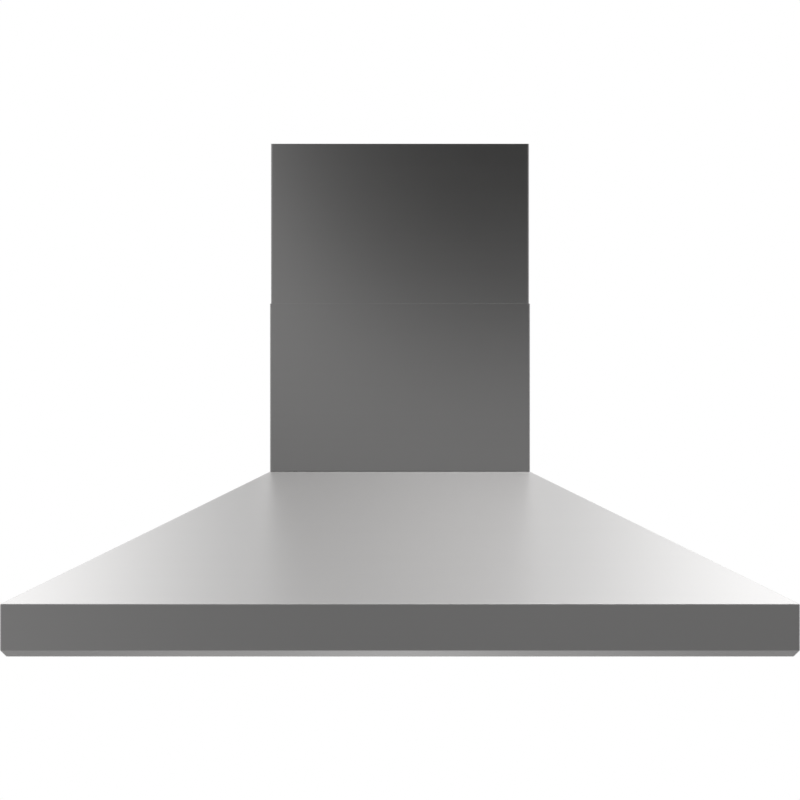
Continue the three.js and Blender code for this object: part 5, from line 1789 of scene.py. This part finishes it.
class RANGEHOOD_OT_stage(bpy.types.Operator):
    """Set up the camera, the floor, the lamps and the cards"""

    bl_idname = "rangehood.stage"
    bl_label = "Stage"

    def execute(self, context):
        studio = context.scene.hood_studio
        front_camera()
        pale_world()
        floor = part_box("canopy_shell")[0].z - studio.floor_drop
        far = FLOOR_REACH
        corners = [(-far, -far, floor), (far, -far, floor), (far, far, floor), (-far, far, floor)]
        stage_quad("floor", corners, floor_material())
        front_card()
        side_card("Side Card Left", -CARD_REACH)
        side_card("Side Card Right", CARD_REACH)
        level_card("Front Ceiling", FRONT_CEILING, -CARD_REACH, CEILING_SPLIT, CEILING_HEIGHT)
        level_card("Rear Ceiling", REAR_CEILING, CEILING_SPLIT, CARD_REACH, CEILING_HEIGHT)
        lifted = floor + FLOOR_CARD_LIFT
        level_card("Floor Card", FLOOR_CARD, CARD_FRONT_PLACE, FLOOR_CARD_REAR, lifted)
        area_lamp("key", KEY_PLACE, KEY_SIZE, studio.key_level)
        area_lamp("fill", FILL_PLACE, FILL_SIZE, studio.fill_level)
        context.scene.view_settings.view_transform = "Standard"
        return {"FINISHED"}


class RANGEHOOD_OT_canopy(bpy.types.Operator):
    """Fold the canopy and finish its back panel"""

    bl_idname = "rangehood.canopy"
    bl_label = "Canopy"

    def execute(self, context):
        canopy_skin()
        finished_copy("canopy_back_panel")
        return {"FINISHED"}


class RANGEHOOD_OT_chimney(bpy.types.Operator):
    """Fold both chimney covers and finish the wall bracket"""

    bl_idname = "rangehood.chimney"
    bl_label = "Chimney covers"

    def execute(self, context):
        chimney_cover("lower_chimney_cover")
        chimney_cover("upper_chimney_cover")
        finished_copy("chimney_wall_bracket")
        return {"FINISHED"}


class RANGEHOOD_OT_underside(bpy.types.Operator):
    """Finish the underside panel, the filter rails and the leaf springs"""

    bl_idname = "rangehood.underside"
    bl_label = "Underside"

    def execute(self, context):
        for node in ("underside_panel", "filter_rail_rear", "filter_rail_front"):
            finished_copy(node)
        for side in FILTER_SIDES:
            finished_copy(f"filter_clip_{side}", CLIP_EDGE)
        return {"FINISHED"}


class RANGEHOOD_OT_filters(bpy.types.Operator):
    """Make the three baffle filters and their handles"""

    bl_idname = "rangehood.filters"
    bl_label = "Baffle filters"

    def execute(self, context):
        for side in FILTER_SIDES:
            finished_copy(f"filter_frame_{side}", FRAME_EDGE)
            upper_baffles(side)
            wire_handle(side)
        return {"FINISHED"}


class RANGEHOOD_OT_controls(bpy.types.Operator):
    """Make the button plate, the five buttons and the switches above them"""

    bl_idname = "rangehood.controls"
    bl_label = "Controls"

    def execute(self, context):
        control_plate()
        for name in BUTTONS:
            push_button(name)
        finished_copy("switch_housing")
        finished_copy("switch_board", BOARD_EDGE)
        return {"FINISHED"}


class RANGEHOOD_OT_lamps(bpy.types.Operator):
    """Turn the bezels, lenses and housings of both lamps"""

    bl_idname = "rangehood.lamps"
    bl_label = "Lamps"

    def execute(self, context):
        for side in LAMP_SIDES:
            lamp_bezel(side)
            lamp_lens(side)
            lamp_housing(side)
        return {"FINISHED"}


class RANGEHOOD_OT_blower(bpy.types.Operator):
    """Make the blower box, the scroll, the wheel and the motor"""

    bl_idname = "rangehood.blower"
    bl_label = "Blower"

    def execute(self, context):
        for node in ("blower_box", "scroll_left", "scroll_right", "motor_spider"):
            finished_copy(node)
        wheel_blades()
        blower_wheel()
        motor_can()
        turned_rod("motor_shaft", width=SHAFT_EDGE)
        for side in BUSH_SIDES:
            motor_bush(side)
        return {"FINISHED"}


class RANGEHOOD_OT_outlet(bpy.types.Operator):
    """Make the outlet adapter, its gasket, the two flaps and their pin"""

    bl_idname = "rangehood.outlet"
    bl_label = "Outlet"

    def execute(self, context):
        outlet_adapter()
        turned_rod("damper_pin", segments=PIN_SEGMENTS)
        for node in ("outlet_gasket", "damper_flap_front", "damper_flap_rear"):
            finished_copy(node)
        return {"FINISHED"}


class RANGEHOOD_OT_electrics(bpy.types.Operator):
    """Make the junction box, the gland, the capacitor, the driver and the leads"""

    bl_idname = "rangehood.electrics"
    bl_label = "Electrical pieces"

    def execute(self, context):
        mains_gland()
        run_capacitor()
        nodes = ("junction_box", "junction_lid", "lamp_driver", "lead_grommet", "capacitor_clip")
        for node in nodes:
            finished_copy(node)
        for node in ("motor_lead", "lamp_lead_left", "lamp_lead_right", "control_lead"):
            finished_copy(node, LEAD_EDGE, LEAD_ANGLE)
        return {"FINISHED"}


class RANGEHOOD_OT_fasteners(bpy.types.Operator):
    """Put the screws in their places"""

    bl_idname = "rangehood.fasteners"
    bl_label = "Fasteners"

    def execute(self, context):
        screw = bpy.data.objects.new("screw", mesh_of(screw_form(), "screw"))
        context.scene.collection.objects.link(screw)
        for body, places in screw_places().items():
            add_screws(body, places, screw)
        bpy.data.objects.remove(screw)
        return {"FINISHED"}


STEPS = (
    RANGEHOOD_OT_stage,
    RANGEHOOD_OT_canopy,
    RANGEHOOD_OT_chimney,
    RANGEHOOD_OT_underside,
    RANGEHOOD_OT_filters,
    RANGEHOOD_OT_controls,
    RANGEHOOD_OT_lamps,
    RANGEHOOD_OT_blower,
    RANGEHOOD_OT_outlet,
    RANGEHOOD_OT_electrics,
    RANGEHOOD_OT_fasteners,
)


class RANGEHOOD_PT_panel(bpy.types.Panel):
    """Lists the steps that build the range hood"""

    bl_label = "Range Hood"
    bl_idname = "RANGEHOOD_PT_panel"
    bl_space_type = "VIEW_3D"
    bl_region_type = "UI"
    bl_category = "Range Hood"

    def draw(self, context):
        scene = context.scene
        for settings in (scene.hood_sizes, scene.hood_finishes, scene.hood_studio):
            box = self.layout.box()
            for name in settings.__annotations__:
                box.prop(settings, name)
        for step in STEPS:
            self.layout.operator(step.bl_idname)


SETTINGS = {"hood_sizes": HoodSizes, "hood_finishes": HoodFinishes, "hood_studio": Studio}


def register():
    for settings in SETTINGS.values():
        bpy.utils.register_class(settings)
    for step in STEPS:
        bpy.utils.register_class(step)
    bpy.utils.register_class(RANGEHOOD_PT_panel)
    for name, settings in SETTINGS.items():
        setattr(bpy.types.Scene, name, PointerProperty(type=settings))


def unregister():
    for name in SETTINGS:
        delattr(bpy.types.Scene, name)
    bpy.utils.unregister_class(RANGEHOOD_PT_panel)
    for step in reversed(STEPS):
        bpy.utils.unregister_class(step)
    for settings in reversed(list(SETTINGS.values())):
        bpy.utils.unregister_class(settings)


def build_hood():
    """Registers the add-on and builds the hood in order."""
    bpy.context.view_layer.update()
    register()
    for step in STEPS:
        group, name = step.bl_idname.split(".")
        getattr(getattr(bpy.ops, group), name)()


if __name__ == "__main__":
    build_hood()
